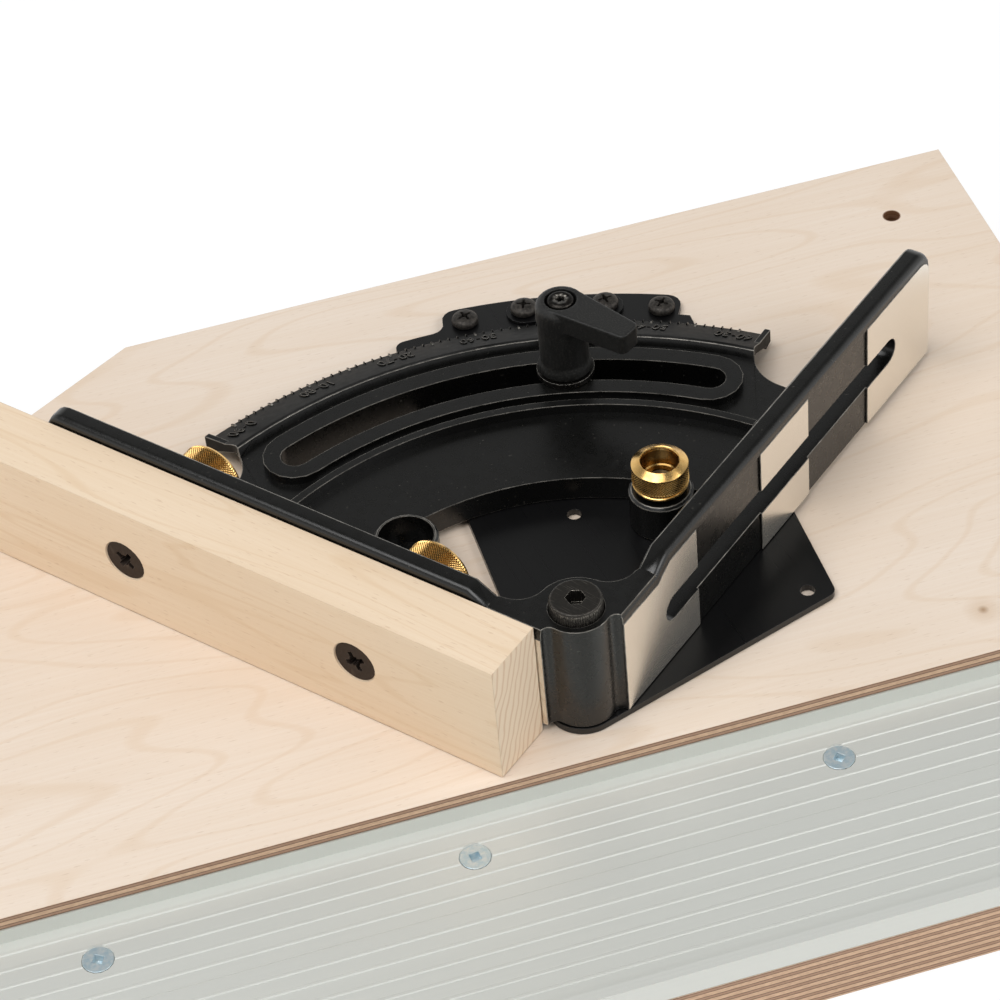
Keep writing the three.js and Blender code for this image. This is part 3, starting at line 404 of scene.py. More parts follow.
pan_height = 2.6
pan_profile = [*wood_screw_profile(11, point=4, start=4), (1.9, 0), (3.75, 0), (4, 0.3), (4, 1.1),
               (3.7, 1.75), (3.1, 2.2), (2.2, 2.5), (1.2, pan_height), (0, pan_height)]
pan_screw = turned("pan_screw", pan_profile, 48, 40)
carve(pan_screw, *cross_cutters(6.0, 1.1, 2.0, pan_height))
pan_turns = [0.35, 1.2, 0.1, 0.75]
for number, turn in enumerate(pan_turns, 1):
    low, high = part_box(f"plate_screw_{number}")
    screw = another(pan_screw, f"plate_wood_screw_{number}")
    set_down(screw, middle_at(low, high, high.z - pan_height * mm), turn=turn)
    hand_over(screw, f"plate_screw_{number}", "board", black_screw_finish)
bpy.data.objects.remove(pan_screw)

# Pivot: a shoulder screw of heat-treated steel with a black oxide skin. Its head is
# straight knurled, and the edge and the face are rubbed bright by hands and hex keys.
def worn_steel(name, dark, bright, roughness, edge, scratch_share):
    """Dark steel whose sharp edges and scratches show lighter metal, which on the washer and the
    insert is partly a painted glint.
    """
    finish, tree, shader = new_finish(name, Metallic=0.9, Roughness=roughness)
    place = add(tree, "TexCoord").outputs["Object"]
    rounded = add(tree, "Bevel", {"Radius": edge * mm}, samples=6)
    true_normal = add(tree, "NewGeometry").outputs["True Normal"]
    facing = add(tree, "VectorMath", rounded, true_normal, operation="DOT_PRODUCT")
    edge_share = add(tree, "MapRange", facing.outputs["Value"], 0.995, 0.86)
    grime = blotches(tree, place, (0.7, 0.7, 0.7), 0, 4)
    patchy = add(tree, "MapRange", grime, 0.35, 0.6)
    edge_wear_and_glint = add(tree, "Math", edge_share, patchy, operation="MULTIPLY")
    scratch = blotches(tree, place, (0.12, 5, 5), 0.6, 0)
    marks = add(tree, "MapRange", scratch, 0.70, 0.78, 0, scratch_share)
    bare_metal_and_glint = add(tree, "Math", edge_wear_and_glint, marks, operation="MAXIMUM")
    grime_share = add(tree, "MapRange", grime, 0.35, 0.7, 0, 0.35)
    skin = add(tree, "MixRGB", grime_share, rgb(dark), rgb("#4b4641"))
    rubbed_and_highlit = add(tree, "MixRGB", bare_metal_and_glint, skin, rgb(bright))
    relief = {"Strength": 0.3, "Distance": 0.04 * mm, "Height": grime, "Normal": rounded}
    feed(tree, shader, {"Base Color": rubbed_and_highlit, "Normal": add(tree, "Bump", relief)})
    return finish


black_oxide = worn_steel("black_oxide_steel", "#3a3835", "#b5aea4", 0.42, 0.22, 0.25)


def pressed_in(piece, chosen, share):
    """Draws the chosen vertices in towards Z, as a knurling wheel does, and leaves crisp facets."""
    alone(piece)
    bpy.ops.object.mode_set(mode="EDIT")
    bpy.ops.mesh.select_mode(type="VERT")
    bpy.ops.mesh.select_all(action="DESELECT")
    bpy.ops.object.mode_set(mode="OBJECT")
    for vertex in piece.data.vertices:
        vertex.select = chosen(vertex.co)
    bpy.ops.object.mode_set(mode="EDIT")
    bpy.ops.transform.resize(value=(share, share, 1), center_override=(0, 0, 0))
    bpy.ops.mesh.select_all(action="SELECT")
    bpy.ops.mesh.quads_convert_to_tris(quad_method="SHORTEST_DIAGONAL")
    bpy.ops.object.mode_set(mode="OBJECT")
    bpy.ops.object.shade_smooth_by_angle(angle=math.radians(18))


def spoke(point, facets):
    """Which of the turned piece's facet lines the point is on."""
    return round(math.atan2(point.y, point.x) / (2 * math.pi) * facets)


pivot_low, pivot_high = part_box("pivot_screw")
head_height = 6.35
thread_end = (pivot_low.z - pivot_high.z) / mm
thread_length = 9.5
shoulder_end = thread_end + thread_length
head_radius = 7.15
pivot_facets = 144
pivot_profile = [(0, thread_end), (3.6, thread_end), (3.8, thread_end + 0.4), (3.8, shoulder_end),
                 (4.75, shoulder_end), (4.75, -head_height), (7.0, -head_height),
                 (head_radius, 0.2 - head_height), (head_radius, -0.95), (6.95, -0.6),
                 (6.62, -0.12), (6.3, 0), (0, 0)]
shoulder_screw = turned("pivot_shoulder_screw", pivot_profile, pivot_facets)
knurl_from = (head_radius - 0.05) * mm
pressed_in(shoulder_screw, lambda p: p.xy.length > knurl_from and spoke(p, pivot_facets) % 2, 0.968)
hex_across = 4.8
carve(shoulder_screw, tapered_pin(6, hex_across, 4.0, 0, math.radians(12), 1.0))
set_down(shoulder_screw, (0, 0, pivot_high.z))
hand_over(shoulder_screw, "pivot_screw", "board", black_oxide)
dress(zinc, "pivot_nut")

# Fence casting: zinc-aluminium alloy, gravity cast in one piece and coated in satin black,
# which is thin on the rounded edges, whose grey is partly that and partly painted highlight.
# The faces that the wood bears on are milled after coating and show bright metal.
fence_turn = math.radians(40)
right_wing = Vector((math.cos(fence_turn), math.sin(fence_turn), 0))
left_wing = Vector((-math.sin(fence_turn), math.cos(fence_turn), 0))
face_out = 12.2 * mm
slot_height = deck + 20.3 * mm


def merged_copy(node_name, name, cuts=()):
    """A copy of a CAD node, its triangles merged into whole faces that end at these planes."""
    copied = another(frame["nodes"][node_name], name)
    copied.parent = None
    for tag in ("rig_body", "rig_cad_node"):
        del copied[tag]
    alone(copied)
    bpy.ops.object.mode_set(mode="EDIT")
    bpy.ops.mesh.select_all(action="SELECT")
    bpy.ops.mesh.remove_doubles(threshold=0.01 * mm)
    for place, normal in cuts:
        bpy.ops.mesh.select_all(action="SELECT")
        bpy.ops.mesh.bisect(plane_co=place, plane_no=normal)
        bpy.ops.mesh.mark_seam()
    bpy.ops.mesh.select_all(action="SELECT")
    bpy.ops.mesh.dissolve_limited(angle_limit=math.radians(1), delimit={"SEAM"})
    bpy.ops.object.mode_set(mode="OBJECT")
    return copied


# One level cut along the slots, and three upright ones from the pivot across the
# quadrant, keep each merged face small enough to shade well.
cuts = [((0, 0, slot_height), (0, 0, 1))]
cut_angles = [14.8, 45, 74.8]
for degrees in cut_angles:
    angle = math.radians(degrees)
    cuts.append(((0, 0, 0), left_wing * math.cos(angle) - right_wing * math.sin(angle)))
casting = merged_copy("fence_casting", "painted_casting", cuts)
# The boss without the pin is open down to a thin floor.
knob_low, knob_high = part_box("index_knob")
boss_spacing = math.radians(60)
open_boss = Matrix.Rotation(boss_spacing, 4, "Z") @ middle_at(knob_low, knob_high, 0)
bore_radius = 7.75 * mm
boss_floor = 4.6 * mm
drill_length = 12 * mm
open_boss.z = deck + boss_floor + drill_length / 2
bpy.ops.object.select_all(action="DESELECT")
bpy.ops.mesh.primitive_cylinder_add(vertices=64, radius=bore_radius, depth=drill_length,
                                    location=open_boss)
carve(casting, bpy.context.object)
outs = [-left_wing, -right_wing]


def on_pad(face, out):
    """Whether the face is one of the milled pads that face this way."""
    return face.normal.dot(out) > 0.999 and abs(face.center.dot(out) - face_out) < 0.02 * mm


def stand_out(piece, least_angle):
    """Weights each outer edge that turns by at least this angle, for a bevel to round."""
    shape = piece.data
    sides = {}
    for face in shape.polygons:
        corners = list(face.vertices)
        for here, there in zip(corners, corners[1:] + corners[:1]):
            inwards = face.normal.cross(shape.vertices[there].co - shape.vertices[here].co)
            sides.setdefault(frozenset((here, there)), []).append((face.normal, inwards))
    weights = shape.attributes.new("bevel_weight_edge", "FLOAT", "EDGE")
    for edge in shape.edges:
        (first, _), (second, inwards) = sides[frozenset(edge.vertices)]
        outer = first.dot(inwards) < 0 and first.angle(second, 0) > math.radians(least_angle)
        weights.data[edge.index].value = 1.0 if outer else 0.0


milled_faces = [face.index for face in casting.data.polygons
                if any(on_pad(face, out) for out in outs)]

paint, tree, shader = new_finish("satin_black_coat", IOR=1.55)
place = add(tree, "TexCoord").outputs["Object"]
skin = blotches(tree, place, (2.6, 2.6, 2.6))
specks = blotches(tree, place, (0.8, 0.8, 0.8), 0, 0)
speck_share = add(tree, "MapRange", specks, 0.82, 0.86, 0, 0.25)
speckled = add(tree, "MixRGB", speck_share, rgb("#080807"), rgb("#6f6b64"))
# The rim keeps a rougher and duller skin than the rest.
flattened = add(tree, "VectorMath", place, (1, 1, 0), operation="MULTIPLY")
reach = add(tree, "VectorMath", flattened, operation="LENGTH").outputs["Value"]
ahead = (left_wing + right_wing).normalized()
onward = add(tree, "VectorMath", flattened, ahead, operation="DOT_PRODUCT").outputs["Value"]
onward_share = add(tree, "Math", onward, reach, operation="DIVIDE")
between_wings = add(tree, "Math", onward_share, 0.8, operation="GREATER_THAN")
rim_from = 136.4 * mm
far_out = add(tree, "Math", reach, rim_from, operation="GREATER_THAN")
rim_skin = add(tree, "Math", between_wings, far_out, operation="MULTIPLY")
rougher = add(tree, "Math", rim_skin, 0.25, operation="MULTIPLY")
rough = add(tree, "Math", add(tree, "MapRange", skin, 0.3, 0.7, 0.25, 0.31), rougher,
            operation="ADD")
duller = add(tree, "MapRange", rim_skin, 0, 1, 0.5, 0.12)
relief = {"Strength": 0.12, "Distance": 0.05 * mm, "Height": skin}
feed(tree, shader, {"Base Color": speckled, "Roughness": rough, "Specular IOR Level": duller,
                    "Normal": add(tree, "Bump", relief)})

# A grey for the thin coat on edges, which also serves as painted highlight there.
thin_coat_and_edge_highlight, tree, shader = new_finish("thin_black_coat_and_painted_edge_highlight", Metallic=0.5, Roughness=0.34)
place = add(tree, "TexCoord").outputs["Object"]
rubbing = blotches(tree, place, (3, 3, 3), 0, 3)
rubbed_share = add(tree, "MapRange", rubbing, 0.35, 0.65)
rubbed_and_highlit = add(tree, "MixRGB", rubbed_share, rgb("#5d5b57"), rgb("#8f8b84"))
feed(tree, shader, {"Base Color": rubbed_and_highlit})

milled, tree, shader = new_finish("milled_alloy_face", Base_Color=rgb("#efeae1"), Metallic=0.9)
place = add(tree, "TexCoord").outputs["Object"]
cutter_marks = blotches(tree, place, (0.5, 0.5, 60), 0, 1)
rough = add(tree, "MapRange", cutter_marks, 0.3, 0.7, 0.25, 0.27)
relief = {"Strength": 0.02, "Distance": 0.02 * mm, "Height": cutter_marks}
feed(tree, shader, {"Roughness": rough, "Normal": add(tree, "Bump", relief)})

hand_over(casting, "fence_casting", "fence", paint)
casting.data.materials.append(milled)
casting.data.materials.append(thin_coat_and_edge_highlight)
for index in milled_faces:
    casting.data.polygons[index].material_index = 1
alone(casting)
sharp_from = 32
stand_out(casting, sharp_from)
rounding = casting.modifiers.new("rounding", "BEVEL")
rounding.limit_method = "WEIGHT"
rounding.width = 0.19 * mm
rounding.segments = 2
rounding.use_clamp_overlap = False
# The rounded edges take the grey coat: thin paint and painted highlight lines.
rounding.material = 2
bpy.ops.object.modifier_apply(modifier=rounding.name)
bpy.ops.object.shade_smooth_by_angle(angle=math.radians(sharp_from))
flats = casting.modifiers.new("flats", "WEIGHTED_NORMAL")
flats.weight = 100
flats.keep_sharp = True
bpy.ops.object.modifier_apply(modifier=flats.name)

# Scale on the rim: one tooth for each degree, longer ones at each fifth, and at each
# tenth a small triangle between the angle and what it leaves of a right angle. All of
# it stands proud of the rim, cast with it, and is coated with it; its sloped sides take
# the lighter grey coat as a painted glint.
rim_radius, rim_height = 152.4, 4.7
rim_inner_radius, rim_inner_height = 137.2, 12.7
rim_fall = math.atan2(rim_inner_height - rim_height, rim_radius - rim_inner_radius)
zero_angle = fence_turn + math.radians(74.9)
scale_end = 60


def on_rim(angle, radius):
    """Where a mark stands on the rim's slope: X along the rim, Y up the slope, Z out of it."""
    height = rim_height + (rim_radius - radius) * math.tan(rim_fall)
    out = Vector((math.cos(angle), math.sin(angle), 0))
    round_rim = Vector((-math.sin(angle), math.cos(angle), 0))
    up_slope = (Vector((0, 0, math.sin(rim_fall))) - out * math.cos(rim_fall)).normalized()
    proud = round_rim.cross(up_slope).normalized()
    place = out * radius * mm + Vector((0, 0, deck + height * mm))
    turn = Matrix((round_rim, up_slope, proud)).transposed().to_4x4()
    return Matrix.Translation(place) @ turn


def pick_faces(piece, chosen):
    """Selects the faces that the test accepts, in edit mode."""
    bpy.ops.object.mode_set(mode="EDIT")
    bpy.ops.mesh.select_mode(type="FACE")
    bpy.ops.mesh.select_all(action="DESELECT")
    bpy.ops.object.mode_set(mode="OBJECT")
    for face in piece.data.polygons:
        face.select = chosen(face)
    bpy.ops.object.mode_set(mode="EDIT")


tooth_height = 1.0


def tooth(length, wide):
    """One cast tooth with sloped sides, pointing up the slope and sunk to half its height."""
    bpy.ops.object.select_all(action="DESELECT")
    bpy.ops.mesh.primitive_cube_add(size=1, location=(0, length * mm / 2, 0))
    made = bpy.context.object
    made.scale = (wide * mm, length * mm, tooth_height * mm)
    bpy.ops.object.transform_apply(location=True, rotation=True, scale=True)
    pick_faces(made, lambda face: face.normal.z > 0.5)
    bpy.ops.transform.resize(value=(0.45, 0.86, 1))
    bpy.ops.object.mode_set(mode="OBJECT")
    return made


def figure(words, size):
    """Raised figures, centred, as a mesh."""
    bpy.ops.object.select_all(action="DESELECT")
    bpy.ops.object.text_add()
    made = bpy.context.object
    made.data.body = words
    made.data.size = size * mm
    made.data.extrude = 0.34 * mm
    made.data.bevel_depth = 0.11 * mm
    made.data.align_x = "CENTER"
    made.data.align_y = "CENTER"
    bpy.ops.object.convert(target="MESH")
    made = bpy.context.object
    made.scale = (0.56, 1, 1)
    bpy.ops.object.transform_apply(location=True, rotation=True, scale=True)
    return made


marks = []


def stand_on_rim(mark, angle, radius):
    """Puts the mark on the rim. Its sloped faces take the lighter grey coat as a painted glint."""
    alone(mark)
    mark.data.materials.clear()
    for coat in (paint, thin_coat_and_edge_highlight):
        mark.data.materials.append(coat)
    for face in mark.data.polygons:
        # Sloped faces get the lighter grey: a painted glint.
        face.material_index = 1 if 0.15 < face.normal.z < 0.95 else 0
    mark.matrix_world = on_rim(angle, radius)
    bpy.ops.object.transform_apply(location=True, rotation=True, scale=True)
    marks.append(mark)


short_tooth = tooth(1.5, 0.75)
long_tooth = tooth(2.6, 0.85)
tooth_radius = rim_radius - 0.15
for degree in range(scale_end + 1):
    mark = another(short_tooth if degree % 5 else long_tooth, f"tooth_{degree}")
    stand_on_rim(mark, zero_angle - math.radians(degree), tooth_radius)
for tooth_shape in (short_tooth, long_tooth):
    bpy.data.objects.remove(tooth_shape)
figure_radius = 145.4
figure_size = 8.0
beside = math.radians(1.3)
beside_zero = math.radians(0.9)
for degree in range(0, scale_end + 1, 10):
    middle = zero_angle - math.radians(degree)
    angle_figure = figure(str(degree), figure_size)
    stand_on_rim(angle_figure, middle - (beside if degree else beside_zero), figure_radius)
    stand_on_rim(figure(str(90 - degree), figure_size), middle + beside, figure_radius)
    bpy.ops.object.select_all(action="DESELECT")
    bpy.ops.mesh.primitive_cylinder_add(vertices=3, radius=0.6 * mm, depth=0.5 * mm,
                                        rotation=(0, 0, math.pi))
    pointer = bpy.context.object
    bpy.ops.object.transform_apply(location=True, rotation=True, scale=True)
    stand_on_rim(pointer, middle, figure_radius)
alone(marks[0])
for mark in marks:
    mark.select_set(True)
bpy.ops.object.join()
scale_marks = marks[0]
scale_marks.name = scale_marks.data.name = "rim_scale_marks"
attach(scale_marks, "fence")

# Clamp: a washer and an insert of blackened steel on a plain stud, under a moulded
# handle. The light edges of the washer and the insert are partly wear where the washer
# drags on the coat and partly a painted glint. The spring has a mesh of its own; on the
# real clamp it shortens as the handle is lifted.
washer_steel_with_painted_glint = worn_steel("blackened_washer_steel_painted_glint", "#1b1a19", "#b5b1aa", 0.4, 0.2, 0.3)
dress(washer_steel_with_painted_glint, "clamp_washer", "lever_insert")
turned_steel, tree, shader = new_finish("turned_steel", Base_Color=rgb("#a3a4a5"), Metallic=1.0,
                                        Roughness=0.3)
place = add(tree, "TexCoord").outputs["Object"]
lathe_lines = blotches(tree, place, (40, 40, 0.25))
relief = {"Strength": 0.3, "Distance": 0.03 * mm, "Height": lathe_lines}
feed(tree, shader, {"Normal": add(tree, "Bump", relief)})
dress(turned_steel, "clamp_stud", "lever_spring", "index_pin")
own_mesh(frame["nodes"]["lever_spring"])

# Lever handle: glass-filled nylon, moulded in one shot and pressed on the insert's
# teeth. The mould was spark eroded, which leaves a fine matt grain, and has no sharp edge.
nylon, tree, shader = new_finish("glass_filled_nylon", IOR=1.5)
place = add(tree, "TexCoord").outputs["Object"]
grain = blotches(tree, place, (0.45, 0.45, 0.45))
rough = add(tree, "MapRange", grain, 0.3, 0.7, 0.46, 0.6)
grain_share = add(tree, "MapRange", grain, 0.5, 0.75, 0, 0.6)
grained = add(tree, "MixRGB", grain_share, rgb("#0d0d0c"), rgb("#3b3a37"))
relief = {"Strength": 0.55, "Distance": 0.1 * mm, "Height": grain}
feed(tree, shader, {"Base Color": grained, "Roughness": rough,
                    "Normal": add(tree, "Bump", relief)})
handle = merged_copy("lever_handle", "moulded_handle")
alone(handle)
recast = handle.modifiers.new("recast", "REMESH")
recast.mode = "VOXEL"
recast.voxel_size = 0.28 * mm
bpy.ops.object.modifier_apply(modifier=recast.name)
softened = handle.modifiers.new("softened", "SMOOTH")
softened.factor = 0.5
softened.iterations = 10
bpy.ops.object.modifier_apply(modifier=softened.name)
bpy.ops.object.shade_smooth()
hand_over(handle, "lever_handle", "lever_handle", nylon)

# Lever screw: a black socket screw that holds the handle down on its spring. The edge of
# its head is worn bright, and the recess is a six-lobed star.
lever_low, lever_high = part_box("lever_screw")
lever_point = (lever_low.z - lever_high.z) / mm
lever_head = 2.6
lever_profile = [(0, lever_point), (1.5, lever_point), (1.7, lever_point + 0.3),
                 (1.7, -lever_head), (3.7, -lever_head), (3.9, 0.2 - lever_head), (3.9, -0.75),
                 (3.75, -0.45), (3.2, -0.08), (2.9, 0), (0, 0)]
lever_screw = turned("lever_retaining_screw", lever_profile, 64)
star_sides = 12
star = tapered_pin(star_sides, 3.4, 2.4, 0, 0, 0.95)
pressed_in(star, lambda p: spoke(p, star_sides) % 2, 0.7)
carve(lever_screw, star)
set_down(lever_screw, middle_at(lever_low, lever_high, lever_high.z))
hand_over(lever_screw, "lever_screw", "clamp_nut",
          worn_steel("black_lever_screw_steel", "#151413", "#77736d", 0.36, 0.35, 0.2))

# Index knob: free-cutting brass, turned from bar, bored for a finger tip and diamond
# knurled round its middle. It has tarnished very little, and the turned faces are bright.
def free_cutting_brass(name, axis_place, axis, outer, band):
    """Brass with fine tool marks round an axis, and painted shade in the grooves of its knurled
    band.

    The band has this outer radius and lies between these heights, in millimetres.
    """
    finish, tree, shader = new_finish(name, Metallic=1.0)
    place = add(tree, "TexCoord").outputs["Object"]
    stand = Vector(axis).to_track_quat("Z", "Y").to_euler()
    centred = add(tree, "Mapping", {"Vector": place, "Location": axis_place, "Rotation": stand},
                  vector_type="TEXTURE")
    height = add(tree, "SeparateXYZ", centred).outputs["Z"]
    flattened = add(tree, "VectorMath", centred, (1, 1, 0), operation="MULTIPLY")
    radius = add(tree, "VectorMath", flattened, operation="LENGTH").outputs["Value"]
    tool_marks = blotches(tree, add(tree, "CombineXYZ", radius, height), (0.12, 0.3, 1))
    tarnish = blotches(tree, place, (2.5, 2.5, 2.5), 0, 3)
    tarnish_share = add(tree, "MapRange", tarnish, 0.4, 0.75, 0, 0.5)
    metal = add(tree, "MixRGB", tarnish_share, rgb("#ecc27c"), rgb("#cb9748"))
    above = add(tree, "Math", height, band[0] * mm, operation="GREATER_THAN")
    below = add(tree, "Math", height, band[1] * mm, operation="LESS_THAN")
    knurled = add(tree, "Math", above, below, operation="MULTIPLY")
    # Darker in the knurl's grooves: painted shade.
    groove_shade = add(tree, "MapRange", radius, (outer - 0.24) * mm, (outer - 0.06) * mm, 0.75, 0)
    groove_shade_share = add(tree, "Math", knurled, groove_shade, operation="MULTIPLY")
    shaded_in_grooves = add(tree, "MixRGB", groove_shade_share, metal, rgb("#5a3d17"))
    rough = add(tree, "MapRange", tarnish, 0.3, 0.7, 0.2, 0.32)
    relief = {"Strength": 0.3, "Distance": 0.02 * mm, "Height": tool_marks}
    feed(tree, shader, {"Base Color": shaded_in_grooves, "Roughness": rough,
                        "Normal": add(tree, "Bump", relief)})
    return finish


def rows(low, high, count):
    """Heights of a knurled band's rows."""
    return [low + (high - low) * i / count for i in range(count + 1)]


def diamond_knurl(piece, facets, heights, share, least_radius):
    """Presses in every other crossing of facet lines and rows, so that diamonds stand up."""
    step = heights[1] - heights[0]

    def crossing(point):
        row = (point.z / mm - heights[0]) / step
        inside = 0.5 < row < len(heights) - 1.5 and point.xy.length > least_radius * mm
        return inside and (round(row) + spoke(point, facets)) % 2
    pressed_in(piece, crossing, share)


knob_height = (knob_high.z - knob_low.z) / mm
knob_radius = 7.95
knob_facets = 124
bore_floor = knob_height - 6.3
knob_rows = rows(bore_floor - 0.6, knob_height - 1.3, 13)
knob_profile = [(3.45, 0), (7.3, 0), (7.55, 0.3), (7.55, bore_floor - 2.4),
                (7.75, bore_floor - 2.2), (7.85, bore_floor - 1.6), (7.4, bore_floor - 1.3),
                (7.4, bore_floor - 1.0), *[(knob_radius, z) for z in knob_rows],
                (7.8, knob_height - 1.15), (5.8, knob_height - 0.1), (5.65, knob_height),
                (5.5, knob_height - 0.1), (5.3, knob_height - 0.4), (5.3, bore_floor),
                (4.9, bore_floor - 0.3), (3.45, bore_floor - 0.3), (3.45, 0)]
knob = turned("turned_index_knob", knob_profile, knob_facets)
diamond_knurl(knob, knob_facets, knob_rows, 0.96, knob_radius - 0.05)
knob_place = middle_at(knob_low, knob_high, knob_low.z)
set_down(knob, knob_place)
hand_over(knob, "index_knob", "index_pin",
          free_cutting_brass("free_cutting_brass_knob", knob_place, (0, 0, 1), knob_radius,
                             (knob_rows[0], knob_rows[-1])))

# Wood face: a block of hard maple, planed all round and left bare. The long grain runs
# with the fence, and the sawn ends show the growth rings on the slant.
maple, tree, shader = new_finish("planed_maple", Roughness=0.55, IOR=1.45,
                                 Specular_IOR_Level=0.35)
place = add(tree, "TexCoord").outputs["Object"]
grain_turn = fence_turn + math.pi / 2
long_grain, fibre = wood_grain(tree, place, grain_turn, "#f0dcc3", "#dcbd98", "#a8733f",
                               (150, 14, 14), 8)
squared = add(tree, "Mapping", {"Vector": place, "Rotation": (0, 0, -grain_turn)})
spread = add(tree, "SeparateXYZ", squared)
lean = add(tree, "Math", spread.outputs["Z"], 0.38, operation="MULTIPLY")
slant = add(tree, "Math", spread.outputs["Y"], lean, operation="ADD")
bend = add(tree, "Math", blotches(tree, place, (16, 16, 16)), 6 * mm, operation="MULTIPLY")
across = add(tree, "Math", slant, bend, operation="ADD")
ring_width = 2.6 * mm
phase = add(tree, "Math", across, 2 * math.pi / ring_width, operation="MULTIPLY")
ring = add(tree, "Math", phase, operation="SINE")
ring_share = add(tree, "MapRange", ring, 0.3, 1, 0, 0.6)
end_grain = add(tree, "MixRGB", ring_share, rgb("#e4d0b8"), rgb("#c9a584"))
true_normal = add(tree, "NewGeometry").outputs["True Normal"]
facing = add(tree, "VectorMath", true_normal, left_wing, operation="DOT_PRODUCT")
endways = add(tree, "Math", facing.outputs["Value"], operation="ABSOLUTE")
sawn_end = add(tree, "Math", endways, 0.7, operation="GREATER_THAN")
eased = add(tree, "Bevel", {"Radius": 0.4 * mm}, samples=5)
relief = {"Strength": 0.3, "Distance": 0.05 * mm, "Height": fibre, "Normal": eased}
feed(tree, shader, {"Base Color": add(tree, "MixRGB", sawn_end, long_grain, end_grain),
                    "Normal": add(tree, "Bump", relief)})
dress(maple, "wood_face")

# Face bolts and thumb nuts: 1/4 in flat-head machine bolts of blackened steel, which
# looks a brown black, and turned brass nuts with a diamond knurl that draw them tight
# behind the left wing.
bolt_finish = worn_steel("blackened_bolt_steel", "#3a302a", "#6d6057", 0.55, 0.25, 0.25)
bolt_length = 38.1
bolt_radius = 3.1
bolt_root = 2.6
pitch = 1.27
thread_turns = 22
thread_start = 0.5 - bolt_length
bolt_profile = [(0, -bolt_length), (2.7, -bolt_length), (bolt_radius, thread_start)]
for ring in range(thread_turns):
    height = thread_start + ring * pitch
    bolt_profile += [(bolt_radius, height + 0.1), (bolt_root, height + 0.64),
                     (bolt_radius, height + 1.17)]
bolt_profile += [(bolt_radius, -4.1), (6.2, -0.35), (6.35, -0.12), (6.25, 0), (0, 0)]
bolt = turned("bolt", bolt_profile, 64)
carve(bolt, *cross_cutters(9.0, 2.2, 3.4, 0))
bolt_places = [50.2, 127.4]
bolt_turns = [0.5, 0.95]
bolt_face = 31.4 * mm
nut_seat = 6.2 * mm
nut_radius = 9.6
nut_facets = 148
nut_rows = rows(4.3, 14.5, 25)
nut_profile = [(3.4, 0.3), (6.6, 0.3), (7.0, 0.7), (7.0, 3.1), (7.2, 3.3), (8.9, 3.3), (9.3, 3.7),
               *[(nut_radius, z) for z in nut_rows], (9.2, 15.2), (8.7, 15.5), (4.2, 15.5),
               (3.4, 14.7), (3.4, 0.3)]
thumb_nut = turned("thumb_nut", nut_profile, nut_facets)
diamond_knurl(thumb_nut, nut_facets, nut_rows, 0.965, nut_radius - 0.1)
for number, (place_along, turn) in enumerate(zip(bolt_places, bolt_turns), 1):
    axis_foot = left_wing * place_along * mm + Vector((0, 0, slot_height))
    one_bolt = another(bolt, f"flat_head_bolt_{number}")
    set_down(one_bolt, axis_foot - right_wing * bolt_face, -right_wing, turn)
    hand_over(one_bolt, f"face_bolt_{number}", "wood_face", bolt_finish)
    seat = axis_foot - right_wing * nut_seat
    nut = another(thumb_nut, f"brass_thumb_nut_{number}")
    set_down(nut, seat, right_wing)
    hand_over(nut, f"thumb_nut_{number}", f"thumb_nut_{number}",
              free_cutting_brass(f"free_cutting_brass_nut_{number}", seat, right_wing, nut_radius,
                                 (nut_rows[0], nut_rows[-1])))
bpy.data.objects.remove(bolt)
bpy.data.objects.remove(thumb_nut)

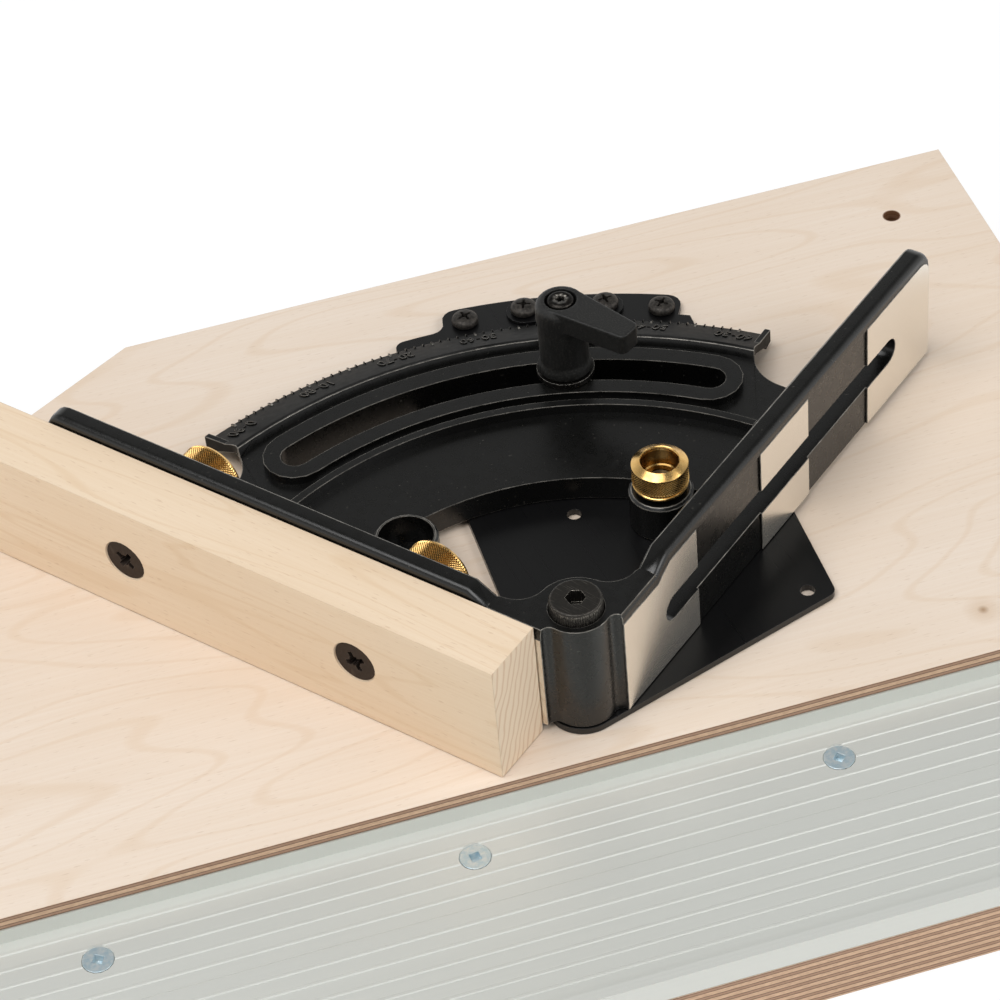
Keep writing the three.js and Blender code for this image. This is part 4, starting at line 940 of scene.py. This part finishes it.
# Floor and studio: a pale sweep under soft light from a wide box overhead at the left and
# a weaker one at the right, with pale walls round the horizon and a darker ceiling.
bpy.ops.mesh.primitive_plane_add(size=24, location=(0, 0, -0.2 * mm))
floor = bpy.context.object
floor.name = "floor"
sweep = bpy.data.materials.new("pale_sweep")
sweep.use_nodes = True
tree = sweep.node_tree
tree.nodes.clear()
paper = add(tree, "BsdfDiffuse", {"Color": rgb("#f4f4f2")})
glow = add(tree, "Emission", {"Color": rgb("#ffffff"), "Strength": 1.05})
ray = add(tree, "LightPath").outputs
mirrored = add(tree, "Math", ray["Is Glossy Ray"], ray["Is Transmission Ray"], operation="MAXIMUM")
seen = add(tree, "Math", ray["Is Camera Ray"], mirrored, operation="MAXIMUM")
glow_share = add(tree, "Math", seen, 0.85, operation="MULTIPLY")
add(tree, "OutputMaterial", {"Surface": add(tree, "MixShader", glow_share, paper, glow)})
floor.data.materials.append(sweep)
part_middle = Vector((-0.05, 0.05, 0))


def softbox(name, place, size, power):
    """A soft area light at this place, in metres, aimed at the part."""
    bpy.ops.object.light_add(type="AREA", location=place)
    box = bpy.context.object
    box.name = name
    box.data.shape = "RECTANGLE"
    box.data.size, box.data.size_y = size
    box.data.energy = power
    box.rotation_euler = (part_middle - Vector(place)).to_track_quat("-Z", "Y").to_euler()


softbox("box_overhead", (-0.6, -0.25, 1.7), (1.5, 1.0), 20)
softbox("box_right", (1.2, -0.9, 1.25), (1.2, 0.9), 12)
world = bpy.data.worlds.new("studio")
bpy.context.scene.world = world
world.use_nodes = True
tree = world.node_tree
tree.nodes.clear()
direction = add(tree, "SeparateXYZ", {"Vector": add(tree, "TexCoord").outputs["Generated"]})
wall_share = add(tree, "MapRange", direction.outputs["Z"], 0.25, 0.75, 1, 0)
room = add(tree, "MixRGB", wall_share, rgb("#6a6a69"), rgb("#f7f7f5"))
front_share = add(tree, "MapRange", direction.outputs["Y"], -0.9, -0.2, 0.85, 1)
light = add(tree, "Background", {"Color": room, "Strength": front_share})
add(tree, "OutputWorld", {"Surface": light})

# Camera: in front of the board and a little to the left, looking down on the fence
# through a long lens.
bpy.ops.object.camera_add(location=(-146.06 * mm, -587.99 * mm, 678.61 * mm),
                          rotation=[math.radians(a) for a in (46.579, 4.2157, -16.346)])
camera = bpy.context.object
camera.data.lens = 120.13
camera.data.sensor_width = 36
camera.data.clip_start = 0.01
camera.data.clip_end = 50
bpy.context.scene.camera = camera
bpy.context.scene.view_settings.view_transform = "Standard"
